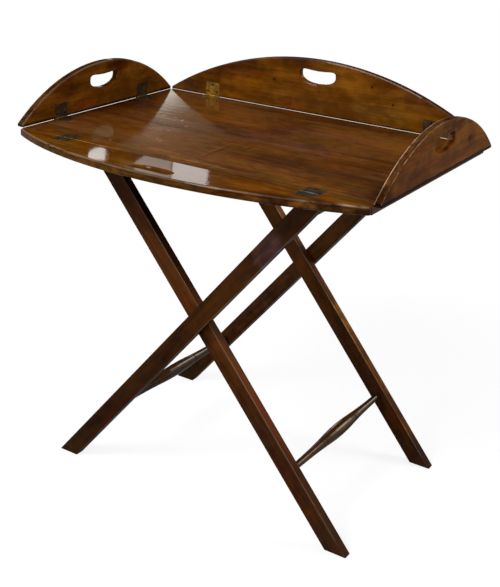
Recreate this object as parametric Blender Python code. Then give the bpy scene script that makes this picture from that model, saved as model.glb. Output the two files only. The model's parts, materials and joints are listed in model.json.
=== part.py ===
"""A butler's tray on a folding stand.

The tray is a flat board with four D-shaped flaps. Each flap turns on two brass
hinges let in flush across the joint, and each has a hand hole. The tray rests on
an X-shaped stand of two frames that fold about two pivot pins, held open by three
webbing straps between the top rails.

Metres, +Z up. The floor is at zero height, and the middle of the bounding box is
at zero length and depth. The front flap lies nearly flat and the others stand up.
"""
import math
from collections import namedtuple

import bmesh
import bpy
from mathutils import Matrix, Vector

# Tray board and flaps.
BOARD_LENGTH = 0.780
BOARD_DEPTH = 0.494
BOARD_THICKNESS = 0.015
TRAY_TOP_HEIGHT = 0.7365
LONG_FLAP_HEIGHT = 0.118
SHORT_FLAP_HEIGHT = 0.100
FLAP_THICKNESS = BOARD_THICKNESS
FLAP_TIP_HEIGHT = 0.005
FLAP_CORNER_GAP = 0.0012
FLAP_EDGE_RADIUS = 0.003
BOARD_EDGE_RADIUS = 0.001
FLAP_JOINT_GAP = 0.0006
FLAP_ARC_STEPS = 36

# How far each flap is turned up from flat at rest.
FRONT_REST_ANGLE = math.radians(5.5)
LEFT_REST_ANGLE = math.radians(95.0)
BACK_REST_ANGLE = math.radians(90.0)
RIGHT_REST_ANGLE = math.radians(90.0)

# Hand holes, shaped like a bean with its ends bent upwards.
HOLE_HALF_LENGTH = 0.043
HOLE_HALF_HEIGHT = 0.014
HOLE_BEND = 0.007
HOLE_EDGE_RADIUS = 0.0035
LONG_HOLE_MARGIN = 0.025
SHORT_HOLE_MARGIN = 0.029
HOLE_ROUNDNESS = 3.2
HOLE_STEPS = 32

# Flush brass hinges.
LEAF_LENGTH = 0.0365
LEAF_REACH = 0.031
LEAF_THICKNESS = 0.0016
KNUCKLE_RADIUS = 0.0026
OUTER_KNUCKLE_LENGTH = 0.009
KNUCKLE_SIDES = 12
HINGE_PIN_RADIUS = 0.0011
LONG_HINGE_INSET = 0.118
SHORT_HINGE_INSET = 0.113

# Countersunk screw holes, three to a leaf, as shares of the room for them.
SCREW_HEAD_RADIUS = 0.0034
SCREW_HEAD_DEPTH = 0.0013
SCREW_SHANK_RADIUS = 0.0017
SCREW_HOLE_SIDES = 10
SCREW_INSET = 0.006
SCREW_PLACE_SHARES = ((-1.0, 0.0), (1.0, 0.0), (0.0, 1.0))

# Stand frames.
STAND_OFFSET_X = 0.016
STAND_OFFSET_Y = 0.008
LEG_ANGLE = math.radians(39.4)
PIVOT_HEIGHT = 0.408
LEG_WIDTH = 0.037
LEG_THICKNESS = 0.020
LEG_GAP = 0.0035
LEG_EDGE_RADIUS = 0.0015
OUTER_LEG_SPREAD = 0.442
TRAY_SEAT_GAP = 0.0003
RAIL_DEPTH = 0.036
RAIL_DROP = 0.003
RAIL_EDGE_INSET = 0.0035
RAIL_SHOULDER = 0.008
RAIL_TENON = 0.010

# Turned stretchers. Each pair of shares is how far in from the end, out of half
# the length, and how much of the swelling there is.
OUTER_STRETCHER_HEIGHT = 0.150
INNER_STRETCHER_HEIGHT = 0.142
STRETCHER_END_RADIUS = 0.0068
STRETCHER_MIDDLE_RADIUS = 0.014
STRETCHER_RING_DEPTH = 0.0008
STRETCHER_RING_WIDTH = 0.003
STRETCHER_TENON_RADIUS = 0.0055
STRETCHER_TENON = 0.012
STRETCHER_SIDES = 20
STRETCHER_SWELL_SHARES = (
    (0.00, 0.00), (0.10, 0.06), (0.28, 0.15), (0.46, 0.30), (0.58, 0.45),
    (0.66, 0.58), (0.76, 0.77), (0.88, 0.94), (1.00, 1.00),
)
STRETCHER_RING_SHARE = 0.66

# Pivot pins, hidden in blind bores of both frames, and the washers between them.
PIVOT_RADIUS = 0.004
PIVOT_BLIND_DEPTH = 0.012
PIVOT_SIDES = 24
WASHER_RADIUS = 0.011

# Webbing straps.
STRAP_COUNT = 3
STRAP_WIDTH = 0.050
STRAP_THICKNESS = 0.0018
STRAP_MARGIN = 0.0175
STRAP_LAP = 0.024
STRAP_TURN_RADIUS = 0.001
STRAP_TURN_STEPS = 6

# Clearances and cuts.
FIT_GAP = 0.0003
CUT_OVERRUN = 0.001
EDGE_SEGMENTS = 2
FLAT_ANGLE = math.radians(32.0)

# Sizes worked out from those above.
HALF_LENGTH = BOARD_LENGTH / 2
HALF_DEPTH = BOARD_DEPTH / 2
HALF_JOINT = FLAP_JOINT_GAP / 2
FRONT_REACH = (
    (LONG_FLAP_HEIGHT - FLAP_EDGE_RADIUS) * math.cos(FRONT_REST_ANGLE)
    + (FLAP_THICKNESS - FLAP_EDGE_RADIUS) * math.sin(FRONT_REST_ANGLE)
    + FLAP_EDGE_RADIUS
)
TRAY_CENTRE = Vector((0, (FRONT_REACH - FLAP_THICKNESS) / 2, TRAY_TOP_HEIGHT))
PIVOT_CENTRE = Vector((STAND_OFFSET_X, TRAY_CENTRE.y + STAND_OFFSET_Y, PIVOT_HEIGHT))
SIN_LEG = math.sin(LEG_ANGLE)
COS_LEG = math.cos(LEG_ANGLE)
LEG_RISE = TRAY_TOP_HEIGHT - BOARD_THICKNESS - TRAY_SEAT_GAP - PIVOT_HEIGHT
RAIL_RISE = LEG_RISE - RAIL_DROP
RAIL_START = LEG_RISE / COS_LEG - RAIL_DEPTH
HALF_LEG = LEG_WIDTH / 2
HALF_LEG_THICKNESS = LEG_THICKNESS / 2
OUTER_LEG_Y = OUTER_LEG_SPREAD / 2
INNER_LEG_Y = OUTER_LEG_Y - LEG_THICKNESS - LEG_GAP
HALF_LEAF = LEAF_LENGTH / 2
LEAF_START = KNUCKLE_RADIUS + 2 * FIT_GAP
INNER_KNUCKLE_LENGTH = LEAF_LENGTH - 2 * (OUTER_KNUCKLE_LENGTH + FIT_GAP)

# The tray's four sides: how far each is turned from the back, its distance from
# the middle, its length, its flap's height, how far in its hinges are, how far the
# hand hole is below the flap's top, its flap's angle at rest and its ends' names.
Side = namedtuple("Side", "name turn reach span height hinge_inset hole_margin rest ends")
SIDES = (
    Side("back", 0.0, HALF_DEPTH, BOARD_LENGTH, LONG_FLAP_HEIGHT, LONG_HINGE_INSET,
         LONG_HOLE_MARGIN, BACK_REST_ANGLE, ("left", "right")),
    Side("left", math.pi / 2, HALF_LENGTH, BOARD_DEPTH, SHORT_FLAP_HEIGHT,
         SHORT_HINGE_INSET, SHORT_HOLE_MARGIN, LEFT_REST_ANGLE, ("front", "back")),
    Side("front", math.pi, HALF_DEPTH, BOARD_LENGTH, LONG_FLAP_HEIGHT, LONG_HINGE_INSET,
         LONG_HOLE_MARGIN, FRONT_REST_ANGLE, ("right", "left")),
    Side("right", -math.pi / 2, HALF_LENGTH, BOARD_DEPTH, SHORT_FLAP_HEIGHT,
         SHORT_HINGE_INSET, SHORT_HOLE_MARGIN, RIGHT_REST_ANGLE, ("back", "front")),
)

# The stand's two frames: which way each leans as it rises, where its legs are and
# how high its stretcher is.
Frame = namedtuple("Frame", "name lean leg_y stretcher_height")
FRAMES = (
    Frame("outer", 1, OUTER_LEG_Y, OUTER_STRETCHER_HEIGHT),
    Frame("inner", -1, INNER_LEG_Y, INNER_STRETCHER_HEIGHT),
)


def clear_scene():
    """Remove every object that the file starts with."""
    for item in list(bpy.data.objects):
        bpy.data.objects.remove(item, do_unlink=True)


def make_material(name, colour, roughness, metallic=0.0):
    """Return a Principled BSDF material."""
    material = bpy.data.materials.new(name)
    material.use_nodes = True
    shader = material.node_tree.nodes["Principled BSDF"]
    shader.inputs["Base Color"].default_value = (*colour, 1.0)
    shader.inputs["Roughness"].default_value = roughness
    shader.inputs["Metallic"].default_value = metallic
    return material


def make_materials():
    """Return the materials by name."""
    return {
        "board": make_material("board_mahogany", (0.20, 0.07, 0.02), 0.18),
        "flap": make_material("flap_mahogany", (0.16, 0.055, 0.018), 0.24),
        "leg": make_material("leg_mahogany", (0.09, 0.03, 0.015), 0.34),
        "brass": make_material("aged_brass", (0.30, 0.25, 0.13), 0.42, 1.0),
        "steel": make_material("dark_steel", (0.20, 0.19, 0.18), 0.40, 1.0),
        "webbing": make_material("webbing", (0.18, 0.13, 0.09), 0.90),
    }


def finish_mesh(bm, name):
    """Write a bmesh to a new mesh with its faces pointing out."""
    bmesh.ops.recalc_face_normals(bm, faces=bm.faces)
    mesh = bpy.data.meshes.new(name)
    bm.to_mesh(mesh)
    bm.free()
    return mesh


def dress(mesh, material, smooth=False):
    """Give a mesh its material, and smooth shading where its faces nearly align."""
    if smooth:
        mesh.shade_smooth()
        mesh.set_sharp_from_angle(angle=FLAT_ANGLE)
    mesh.materials.clear()
    mesh.materials.append(material)
    return mesh


def place(name, mesh, matrix):
    """Add a named object that shows a mesh at a place."""
    item = bpy.data.objects.new(name, mesh)
    item.matrix_world = matrix
    bpy.context.scene.collection.objects.link(item)


def carve(mesh, tool, operation="DIFFERENCE"):
    """Return a new mesh with the tool's shape cut from it, or joined to it."""
    body = bpy.data.objects.new("body", mesh)
    cutter = bpy.data.objects.new("cutter", tool)
    bpy.context.scene.collection.objects.link(body)
    bpy.context.scene.collection.objects.link(cutter)
    modifier = body.modifiers.new("Carve", "BOOLEAN")
    modifier.operation = operation
    modifier.solver = "EXACT"
    modifier.object = cutter
    graph = bpy.context.evaluated_depsgraph_get()
    result = bpy.data.meshes.new_from_object(body.evaluated_get(graph))
    bpy.data.objects.remove(body, do_unlink=True)
    bpy.data.objects.remove(cutter, do_unlink=True)
    return result


def gather(pieces, name):
    """Return one mesh that holds every piece, given as pairs of mesh and matrix."""
    bm = bmesh.new()
    for mesh, matrix in pieces:
        copy = mesh.copy()
        copy.transform(matrix)
        bm.from_mesh(copy)
        bpy.data.meshes.remove(copy)
    return finish_mesh(bm, name)


def box_mesh(low, high):
    """Return one closed box between two corners."""
    size = Vector(high) - Vector(low)
    centre = (Vector(high) + Vector(low)) / 2
    bm = bmesh.new()
    matrix = Matrix.Translation(centre) @ Matrix.Diagonal((*size, 1.0))
    bmesh.ops.create_cube(bm, size=1.0, matrix=matrix)
    return finish_mesh(bm, "box")


def plate_mesh(reach_x, near, far, low, high):
    """Return a box that is centred on X and runs from near to far along Y."""
    return box_mesh((-reach_x, min(near, far), low), (reach_x, max(near, far), high))


def lathe_mesh(profile, sides, closed=False):
    """Turn a profile of radius and height pairs about Z, with its ends on the axis.

    A closed profile joins its last ring to its first one instead.
    """
    bm = bmesh.new()
    rings = []
    for radius, height in profile:
        count = sides if radius else 1
        angles = [math.tau * (step + 0.5) / sides for step in range(count)]
        rings.append([bm.verts.new((radius * math.cos(angle), radius * math.sin(angle), height))
                      for angle in angles])
    following = rings[1:] + rings[:1] if closed else rings[1:]
    for lower, upper in zip(rings, following):
        for step in range(sides):
            after = (step + 1) % sides
            corners = (lower[step % len(lower)], lower[after % len(lower)],
                       upper[after % len(upper)], upper[step % len(upper)])
            bm.faces.new(list(dict.fromkeys(corners)))
    return finish_mesh(bm, "lathe")


def rod_mesh(radius, low, high, sides):
    """Return a round rod along Z."""
    return lathe_mesh(((0, low), (radius, low), (radius, high), (0, high)), sides)


def sheet_mesh(outline, low, high):
    """Extrude an outline of X and Z points along Y."""
    bm = bmesh.new()
    face = bm.faces.new([bm.verts.new((x, low, z)) for x, z in outline])
    grown = bmesh.ops.extrude_face_region(bm, geom=[face])
    moved = [part for part in grown["geom"] if isinstance(part, bmesh.types.BMVert)]
    bmesh.ops.translate(bm, verts=moved, vec=(0, high - low, 0))
    return finish_mesh(bm, "sheet")


def round_edges(bm, edges, radius):
    """Round the given edges."""
    bmesh.ops.bevel(bm, geom=edges, offset=radius, offset_type="OFFSET",
                    segments=EDGE_SEGMENTS, profile=0.5, affect="EDGES", material=-1)


def rounded(mesh, radius):
    """Return a copy of a mesh with all its edges rounded."""
    bm = bmesh.new()
    bm.from_mesh(mesh)
    round_edges(bm, list(bm.edges), radius)
    return finish_mesh(bm, mesh.name)


def side_matrix(side):
    """Return the place of a side's joint line, with Y pointing away from the board."""
    turn = Matrix.Rotation(side.turn, 4, "Z")
    return Matrix.Translation(TRAY_CENTRE) @ turn @ Matrix.Translation((0, side.reach, 0))


def flap_matrix(side):
    """Return the place of a side's flap, turned up by its angle at rest."""
    return side_matrix(side) @ Matrix.Rotation(side.rest, 4, "X")


def hinge_shifts(side):
    """Return the shifts along the joint line to a side's two hinges."""
    shift = side.span / 2 - side.hinge_inset
    return [Matrix.Translation((sign * shift, 0, 0)) for sign in (-1, 1)]


def screw_shifts(direction):
    """Return the shifts from a hinge to the screw holes of its leaf on one side."""
    near = LEAF_START + SCREW_INSET
    far = LEAF_REACH - SCREW_INSET
    along = HALF_LEAF - SCREW_INSET
    return [Matrix.Translation((along * x_share, direction * (near + (far - near) * y_share), 0))
            for x_share, y_share in SCREW_PLACE_SHARES]


def countersink_mesh():
    """Return the hole that a leaf has for a screw."""
    low = -LEAF_THICKNESS - CUT_OVERRUN
    profile = (
        (0, low),
        (SCREW_SHANK_RADIUS, low),
        (SCREW_SHANK_RADIUS, -SCREW_HEAD_DEPTH),
        (SCREW_HEAD_RADIUS, 0),
        (SCREW_HEAD_RADIUS, CUT_OVERRUN),
        (0, CUT_OVERRUN),
    )
    return lathe_mesh(profile, SCREW_HOLE_SIDES)


def knuckle_mesh(centre, length, radius):
    """Return a round bar along the joint line about a middle place."""
    bar = rod_mesh(radius, -length / 2, length / 2, KNUCKLE_SIDES)
    bar.transform(Matrix.Translation((centre, 0, 0)) @ Matrix.Rotation(math.pi / 2, 4, "Y"))
    return bar


def arm_mesh(direction, centre, length):
    """Return a knuckle with the arm that joins it to its leaf."""
    arm = plate_mesh(length / 2, 0, direction * (LEAF_START + CUT_OVERRUN),
                     -LEAF_THICKNESS, 0)
    arm.transform(Matrix.Translation((centre, 0, 0)))
    return carve(arm, knuckle_mesh(centre, length, KNUCKLE_RADIUS), "UNION")


def leaf_mesh(direction, knuckles, material):
    """Return a hinge leaf on one side of the joint, with its knuckles and holes.

    Each knuckle is its middle along the joint and its length.
    """
    mesh = plate_mesh(HALF_LEAF, direction * LEAF_START, direction * LEAF_REACH,
                      -LEAF_THICKNESS, 0)
    for centre, length in knuckles:
        mesh = carve(mesh, arm_mesh(direction, centre, length), "UNION")
    bore = knuckle_mesh(0, LEAF_LENGTH + 2 * CUT_OVERRUN, HINGE_PIN_RADIUS + FIT_GAP)
    sink = countersink_mesh()
    holes = gather([(sink, shift) for shift in screw_shifts(direction)], "holes")
    return dress(carve(carve(mesh, bore), holes), material, smooth=True)


def board_leaf_mesh(material):
    """Return the leaf that lies in the board, with a knuckle at each end."""
    centre = HALF_LEAF - OUTER_KNUCKLE_LENGTH / 2
    knuckles = [(sign * centre, OUTER_KNUCKLE_LENGTH) for sign in (-1, 1)]
    return leaf_mesh(-1, knuckles, material)


def flap_leaf_mesh(material):
    """Return the leaf that lies in a flap, with one knuckle in its middle."""
    return leaf_mesh(1, [(0, INNER_KNUCKLE_LENGTH)], material)


def cut_for_hinges(mesh, places, direction):
    """Cut the pockets for the leaves, and the notches for the knuckles, at some hinges."""
    reach = HALF_LEAF + FIT_GAP
    near = -direction * CUT_OVERRUN
    pocket = plate_mesh(reach, near, direction * (LEAF_REACH + FIT_GAP),
                        -LEAF_THICKNESS - FIT_GAP, CUT_OVERRUN)
    notch = plate_mesh(reach, near, direction * LEAF_START, -LEAF_START, CUT_OVERRUN)
    mesh = carve(mesh, gather([(pocket, spot) for spot in places], "pockets"))
    return carve(mesh, gather([(notch, spot) for spot in places], "notches"))


def build_board(materials):
    """Add the flat board with its pockets for eight hinges."""
    board = box_mesh((HALF_JOINT - HALF_LENGTH, HALF_JOINT - HALF_DEPTH, -BOARD_THICKNESS),
                     (HALF_LENGTH - HALF_JOINT, HALF_DEPTH - HALF_JOINT, 0))
    to_board = Matrix.Translation(-TRAY_CENTRE)
    places = [to_board @ side_matrix(side) @ shift
              for side in SIDES for shift in hinge_shifts(side)]
    mesh = cut_for_hinges(rounded(board, BOARD_EDGE_RADIUS), places, -1)
    place("tray_board", dress(mesh, materials["board"]), Matrix.Translation(TRAY_CENTRE))


def arc_points(span, rise, base, steps):
    """Return the points of a round arc over a span, from its right end to its left."""
    radius = (span * span / 4 + rise * rise) / (2 * rise)
    reach = math.asin(span / 2 / radius)
    angles = [reach - 2 * reach * step / steps for step in range(steps + 1)]
    return [(radius * math.sin(angle), base + rise - radius * (1 - math.cos(angle)))
            for angle in angles]


def bean_points(centre_height):
    """Return the hand hole's outline, from its right end over its top."""
    points = []
    power = 2 / HOLE_ROUNDNESS
    for step in range(HOLE_STEPS):
        angle = math.tau * step / HOLE_STEPS
        along = math.copysign(abs(math.cos(angle)) ** power, math.cos(angle))
        up = math.copysign(abs(math.sin(angle)) ** power, math.sin(angle))
        points.append((HOLE_HALF_LENGTH * along,
                       centre_height + HOLE_HALF_HEIGHT * up + HOLE_BEND * along * along))
    return points


def flap_faces(bm, side, hole_mark):
    """Add a flap's flat face, in two parts that meet at the ends of the hand hole."""
    span = side.span - 2 * FLAP_CORNER_GAP
    rise = side.height - FLAP_TIP_HEIGHT
    rim = [bm.verts.new((x, y, 0)) for x, y in
           arc_points(span, rise, FLAP_TIP_HEIGHT, FLAP_ARC_STEPS)]
    hole_height = side.height - side.hole_margin - HOLE_HALF_HEIGHT
    hole = [bm.verts.new((x, y, 0)) for x, y in bean_points(hole_height)]
    for vert in hole:
        vert[hole_mark] = 1
    foot = [bm.verts.new((sign * span / 2, HALF_JOINT, 0)) for sign in (-1, 1)]
    half = HOLE_STEPS // 2
    upper = bm.faces.new(rim + hole[half:0:-1] + hole[:1])
    lower = bm.faces.new(foot + rim[:1] + hole[:1] + hole[:half - 1:-1] + rim[-1:])
    return [upper, lower]


def is_arris(edge):
    """Tell whether an edge joins a flat face to an edge face, away from the joint."""
    if all(vert.co.y < FLAP_TIP_HEIGHT / 2 for vert in edge.verts):
        return False
    flat = [abs(face.normal.z) > 0.5 for face in edge.link_faces]
    return flat[0] != flat[1]


def flap_mesh(side):
    """Return a side's flap, lying flat with its upper face at zero height."""
    bm = bmesh.new()
    hole_mark = bm.verts.layers.int.new("hole")
    faces = flap_faces(bm, side, hole_mark)
    grown = bmesh.ops.extrude_face_region(bm, geom=faces)
    lowered = [part for part in grown["geom"] if isinstance(part, bmesh.types.BMVert)]
    bmesh.ops.translate(bm, verts=lowered, vec=(0, 0, -FLAP_THICKNESS))
    bmesh.ops.recalc_face_normals(bm, faces=bm.faces)
    arrises = [edge for edge in bm.edges if is_arris(edge)]
    inside = [edge for edge in arrises if all(vert[hole_mark] for vert in edge.verts)]
    outside = [edge for edge in arrises if not any(vert[hole_mark] for vert in edge.verts)]
    round_edges(bm, outside, FLAP_EDGE_RADIUS)
    round_edges(bm, inside, HOLE_EDGE_RADIUS)
    return finish_mesh(bm, side.name)


def build_flaps(materials):
    """Add the four flaps."""
    for side in SIDES:
        mesh = cut_for_hinges(flap_mesh(side), hinge_shifts(side), 1)
        place(side.name + "_flap", dress(mesh, materials["flap"], smooth=True),
              flap_matrix(side))


def build_hinges(materials):
    """Add the two leaves and the pin of every hinge."""
    board_leaf = board_leaf_mesh(materials["brass"])
    flap_leaf = flap_leaf_mesh(materials["brass"])
    pin = dress(knuckle_mesh(0, LEAF_LENGTH, HINGE_PIN_RADIUS), materials["steel"], smooth=True)
    for side in SIDES:
        for end, shift in zip(side.ends, hinge_shifts(side)):
            place(f"{side.name}_board_leaf_{end}", board_leaf, side_matrix(side) @ shift)
            place(f"{side.name}_flap_leaf_{end}", flap_leaf, flap_matrix(side) @ shift)
            place(f"{side.name}_hinge_pin_{end}", pin, side_matrix(side) @ shift)


def leg_point(lean, along, across):
    """Return X and Z from the pivot, along a leg and then across it, outwards."""
    return lean * (along * SIN_LEG + across * COS_LEG), along * COS_LEG - across * SIN_LEG


def level_point(lean, across, rise):
    """Return X and Z from the pivot where a line along a leg reaches a height."""
    return leg_point(lean, (rise + across * SIN_LEG) / COS_LEG, across)


def rail_outline(lean, inset):
    """Return a top rail's section, drawn in by an inset all round."""
    edge = HALF_LEG - inset
    start = RAIL_START + inset
    top = RAIL_RISE - inset
    return [leg_point(lean, start, -edge), leg_point(lean, start, edge),
            level_point(lean, edge, top), level_point(lean, -edge, top)]


def y_rod_mesh(radius, centre, low, high, sides):
    """Return a round rod along Y through a place given as X and Z."""
    rod = rod_mesh(radius, low, high, sides)
    turn = Matrix.Rotation(-math.pi / 2, 4, "X")
    rod.transform(Matrix.Translation((centre[0], 0, centre[1])) @ turn)
    return rod


def leg_mesh(frame, side_sign):
    """Return a leg about the pivot, at the back or, with a sign of minus one, the front.

    It has the sockets for the rail and stretcher and, in the face towards the
    other frame, the blind bore for the pivot pin.
    """
    outline = [level_point(frame.lean, across, rise) for across, rise in
               ((-HALF_LEG, -PIVOT_HEIGHT), (HALF_LEG, -PIVOT_HEIGHT),
                (HALF_LEG, LEG_RISE), (-HALF_LEG, LEG_RISE))]
    near = frame.leg_y - HALF_LEG_THICKNESS
    far = frame.leg_y + HALF_LEG_THICKNESS
    body = rounded(sheet_mesh(outline, near, far), LEG_EDGE_RADIUS)
    start = near - CUT_OVERRUN
    bore_depth = PIVOT_BLIND_DEPTH + FIT_GAP
    if frame.lean < 0:
        bore_span = far - bore_depth, far + CUT_OVERRUN
    else:
        bore_span = start, near + bore_depth
    bore = y_rod_mesh(PIVOT_RADIUS + FIT_GAP, (0, 0), *bore_span, PIVOT_SIDES)
    socket = y_rod_mesh(STRETCHER_TENON_RADIUS + FIT_GAP, stretcher_place(frame), start,
                        near + STRETCHER_TENON + FIT_GAP, STRETCHER_SIDES)
    mortise = sheet_mesh(rail_outline(frame.lean, RAIL_SHOULDER - FIT_GAP), start,
                         near + RAIL_TENON + FIT_GAP)
    identity = Matrix.Identity(4)
    mesh = carve(body, gather([(bore, identity), (socket, identity), (mortise, identity)], "cuts"))
    if side_sign < 0:
        mesh = mirrored(mesh)
    return mesh


def mirrored(mesh):
    """Return a copy of a mesh mirrored from the back of the object to the front."""
    bm = bmesh.new()
    bm.from_mesh(mesh)
    bmesh.ops.scale(bm, vec=(1, -1, 1), verts=bm.verts)
    bmesh.ops.reverse_faces(bm, faces=bm.faces)
    return finish_mesh(bm, mesh.name)


def stretcher_place(frame):
    """Return X and Z from the pivot of a frame's stretcher."""
    return level_point(frame.lean, 0, frame.stretcher_height - PIVOT_HEIGHT)


def build_legs(materials):
    """Add the two legs of each frame."""
    for frame in FRAMES:
        for end, side_sign in (("front", -1), ("back", 1)):
            mesh = dress(leg_mesh(frame, side_sign), materials["leg"], smooth=True)
            place(f"{frame.name}_leg_{end}", mesh, Matrix.Translation(PIVOT_CENTRE))


def build_rails(materials):
    """Add the top rail of each frame, with a tenon at each end."""
    for frame in FRAMES:
        reach = frame.leg_y - HALF_LEG_THICKNESS
        bar = sheet_mesh(rail_outline(frame.lean, 0), FIT_GAP - reach, reach - FIT_GAP)
        tenon_reach = reach + RAIL_TENON
        tenons = sheet_mesh(rail_outline(frame.lean, RAIL_SHOULDER), -tenon_reach, tenon_reach)
        mesh = carve(rounded(bar, RAIL_EDGE_INSET), tenons, "UNION")
        place(frame.name + "_top_rail", dress(mesh, materials["leg"], smooth=True),
              Matrix.Translation(PIVOT_CENTRE))


def stretcher_profile(reach):
    """Return a stretcher's turned profile, from one end of its length to the other."""
    body = reach - FIT_GAP
    tip = reach + STRETCHER_TENON
    swelling = STRETCHER_MIDDLE_RADIUS - STRETCHER_END_RADIUS
    half = [(0, -tip), (STRETCHER_TENON_RADIUS, -tip), (STRETCHER_TENON_RADIUS, -body)]
    for inwards, swell in STRETCHER_SWELL_SHARES:
        radius = STRETCHER_END_RADIUS + swelling * swell
        height = -body * (1 - inwards)
        if inwards == STRETCHER_RING_SHARE:
            half.append((radius, height - STRETCHER_RING_WIDTH / 2))
            half.append((radius - STRETCHER_RING_DEPTH, height))
            half.append((radius, height + STRETCHER_RING_WIDTH / 2))
        else:
            half.append((radius, height))
    return half + [(radius, -height) for radius, height in reversed(half[:-1])]


def build_stretchers(materials):
    """Add the turned stretcher of each frame."""
    for frame in FRAMES:
        mesh = lathe_mesh(stretcher_profile(frame.leg_y - HALF_LEG_THICKNESS), STRETCHER_SIDES)
        x, z = stretcher_place(frame)
        mesh.transform(Matrix.Translation((x, 0, z)) @ Matrix.Rotation(-math.pi / 2, 4, "X"))
        place(frame.name + "_stretcher", dress(mesh, materials["leg"], smooth=True),
              Matrix.Translation(PIVOT_CENTRE))


def build_pivots(materials):
    """Add a pivot pin and a washer at the front and at the back."""
    inner = INNER_LEG_Y + HALF_LEG_THICKNESS
    outer = OUTER_LEG_Y - HALF_LEG_THICKNESS
    bore = PIVOT_RADIUS + FIT_GAP
    low = inner + FIT_GAP
    high = outer - FIT_GAP
    ring = [(bore, low), (WASHER_RADIUS, low), (WASHER_RADIUS, high), (bore, high)]
    rod = rod_mesh(PIVOT_RADIUS, inner - PIVOT_BLIND_DEPTH, outer + PIVOT_BLIND_DEPTH, PIVOT_SIDES)
    pin = dress(rod, materials["steel"], smooth=True)
    washer = dress(lathe_mesh(ring, PIVOT_SIDES, closed=True), materials["steel"], smooth=True)
    for end, sign in (("front", 1), ("back", -1)):
        spot = Matrix.Translation(PIVOT_CENTRE) @ Matrix.Rotation(sign * math.pi / 2, 4, "X")
        place("pivot_pin_" + end, pin, spot)
        place("pivot_washer_" + end, washer, spot)


def strap_turn_start():
    """Return how far along the leg the strap starts to turn over the rail's edge."""
    across = HALF_LEG - STRAP_TURN_RADIUS
    return (RAIL_RISE - STRAP_TURN_RADIUS + across * SIN_LEG) / COS_LEG


def strap_half(lift):
    """Return the strap's path at its right rail, at a height above the rail's faces."""
    centre = leg_point(1, strap_turn_start(), HALF_LEG - STRAP_TURN_RADIUS)
    radius = STRAP_TURN_RADIUS + lift
    turn = math.pi / 2 + LEG_ANGLE
    points = []
    for step in range(STRAP_TURN_STEPS + 1):
        angle = math.pi / 2 - turn * step / STRAP_TURN_STEPS
        points.append((centre[0] + radius * math.cos(angle),
                       centre[1] + radius * math.sin(angle)))
    points.append(leg_point(1, strap_turn_start() - STRAP_LAP, HALF_LEG + lift))
    return points


def strap_outline():
    """Return a strap's section from one rail to the other."""
    outer = strap_half(FIT_GAP + STRAP_THICKNESS)
    inner = strap_half(FIT_GAP)
    right = outer + inner[::-1]
    return right + [(-x, z) for x, z in reversed(right)]


def build_straps(materials):
    """Add the webbing straps between the top rails."""
    first = STRAP_MARGIN + HALF_LEG_THICKNESS - INNER_LEG_Y
    pitch = (-2 * first - STRAP_WIDTH) / (STRAP_COUNT - 1)
    for step in range(STRAP_COUNT):
        near = first + pitch * step
        mesh = sheet_mesh(strap_outline(), near, near + STRAP_WIDTH)
        place(f"webbing_strap_{step + 1}", dress(mesh, materials["webbing"], smooth=True),
              Matrix.Translation(PIVOT_CENTRE))


def main():
    """Build every part of the tray and its stand."""
    clear_scene()
    materials = make_materials()
    build_board(materials)
    build_flaps(materials)
    build_hinges(materials)
    build_legs(materials)
    build_rails(materials)
    build_stretchers(materials)
    build_pivots(materials)
    build_straps(materials)


main()
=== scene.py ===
"""A butler's tray on its folding stand: wood, brass, screws, webbing and a studio.

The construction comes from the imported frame. This file finishes its surfaces and
adds the screws of the hinges, the webbing straps with their tacks, and the stage.
Metres, +Z up.
"""
import json
import math
from collections import namedtuple

import bmesh
import bpy
from bpy.props import FloatProperty, FloatVectorProperty, IntProperty, PointerProperty
from mathutils import Matrix, Vector


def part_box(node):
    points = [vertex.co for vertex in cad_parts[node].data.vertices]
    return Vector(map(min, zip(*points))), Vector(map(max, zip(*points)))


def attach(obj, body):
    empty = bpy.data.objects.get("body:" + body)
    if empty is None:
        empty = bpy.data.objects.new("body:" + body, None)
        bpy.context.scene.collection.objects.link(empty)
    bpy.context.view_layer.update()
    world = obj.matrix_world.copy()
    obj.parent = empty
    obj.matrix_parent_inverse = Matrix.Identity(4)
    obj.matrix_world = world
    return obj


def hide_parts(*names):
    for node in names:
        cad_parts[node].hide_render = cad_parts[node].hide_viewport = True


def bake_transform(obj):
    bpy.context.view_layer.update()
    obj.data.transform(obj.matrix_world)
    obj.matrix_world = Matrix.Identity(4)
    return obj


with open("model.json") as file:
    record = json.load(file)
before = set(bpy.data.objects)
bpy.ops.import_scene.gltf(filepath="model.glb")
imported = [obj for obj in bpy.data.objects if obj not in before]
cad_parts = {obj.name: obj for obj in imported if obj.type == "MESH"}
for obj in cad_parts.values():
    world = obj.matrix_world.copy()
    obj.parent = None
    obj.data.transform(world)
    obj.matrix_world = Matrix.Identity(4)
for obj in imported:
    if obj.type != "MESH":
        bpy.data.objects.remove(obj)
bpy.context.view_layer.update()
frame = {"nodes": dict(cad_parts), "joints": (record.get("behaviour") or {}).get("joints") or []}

bl_info = {
    "name": "Butler's Tray Finisher",
    "version": (1, 0, 0),
    "blender": (4, 5, 0),
    "location": "3D View > Sidebar > Tray",
    "description": "Finishes a butler's tray and its folding stand",
    "category": "Object",
}

JOINTS = {joint["name"]: joint for joint in frame["joints"]}
PIVOT = Vector(JOINTS["stand_fold"]["pos_m"])
UP = Vector((0, 0, 1))
SIDES = ("back", "left", "front", "right")
LONG_SIDES = ("back", "front")
WHITE = (1, 1, 1, 1)
BLACK = (0, 0, 0, 1)

# The stand's two frames, and the way along X that the top of each leans.
FRAMES = (("outer_frame", 1), ("inner_frame", -1))

# Edges that are sharper than this stay sharp in a smooth piece.
SHARP_ANGLE = math.radians(35)

# One hinge: the side and the end of it where it sits, its middle and the joint's direction.
Hinge = namedtuple("Hinge", "side end centre along")

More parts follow.
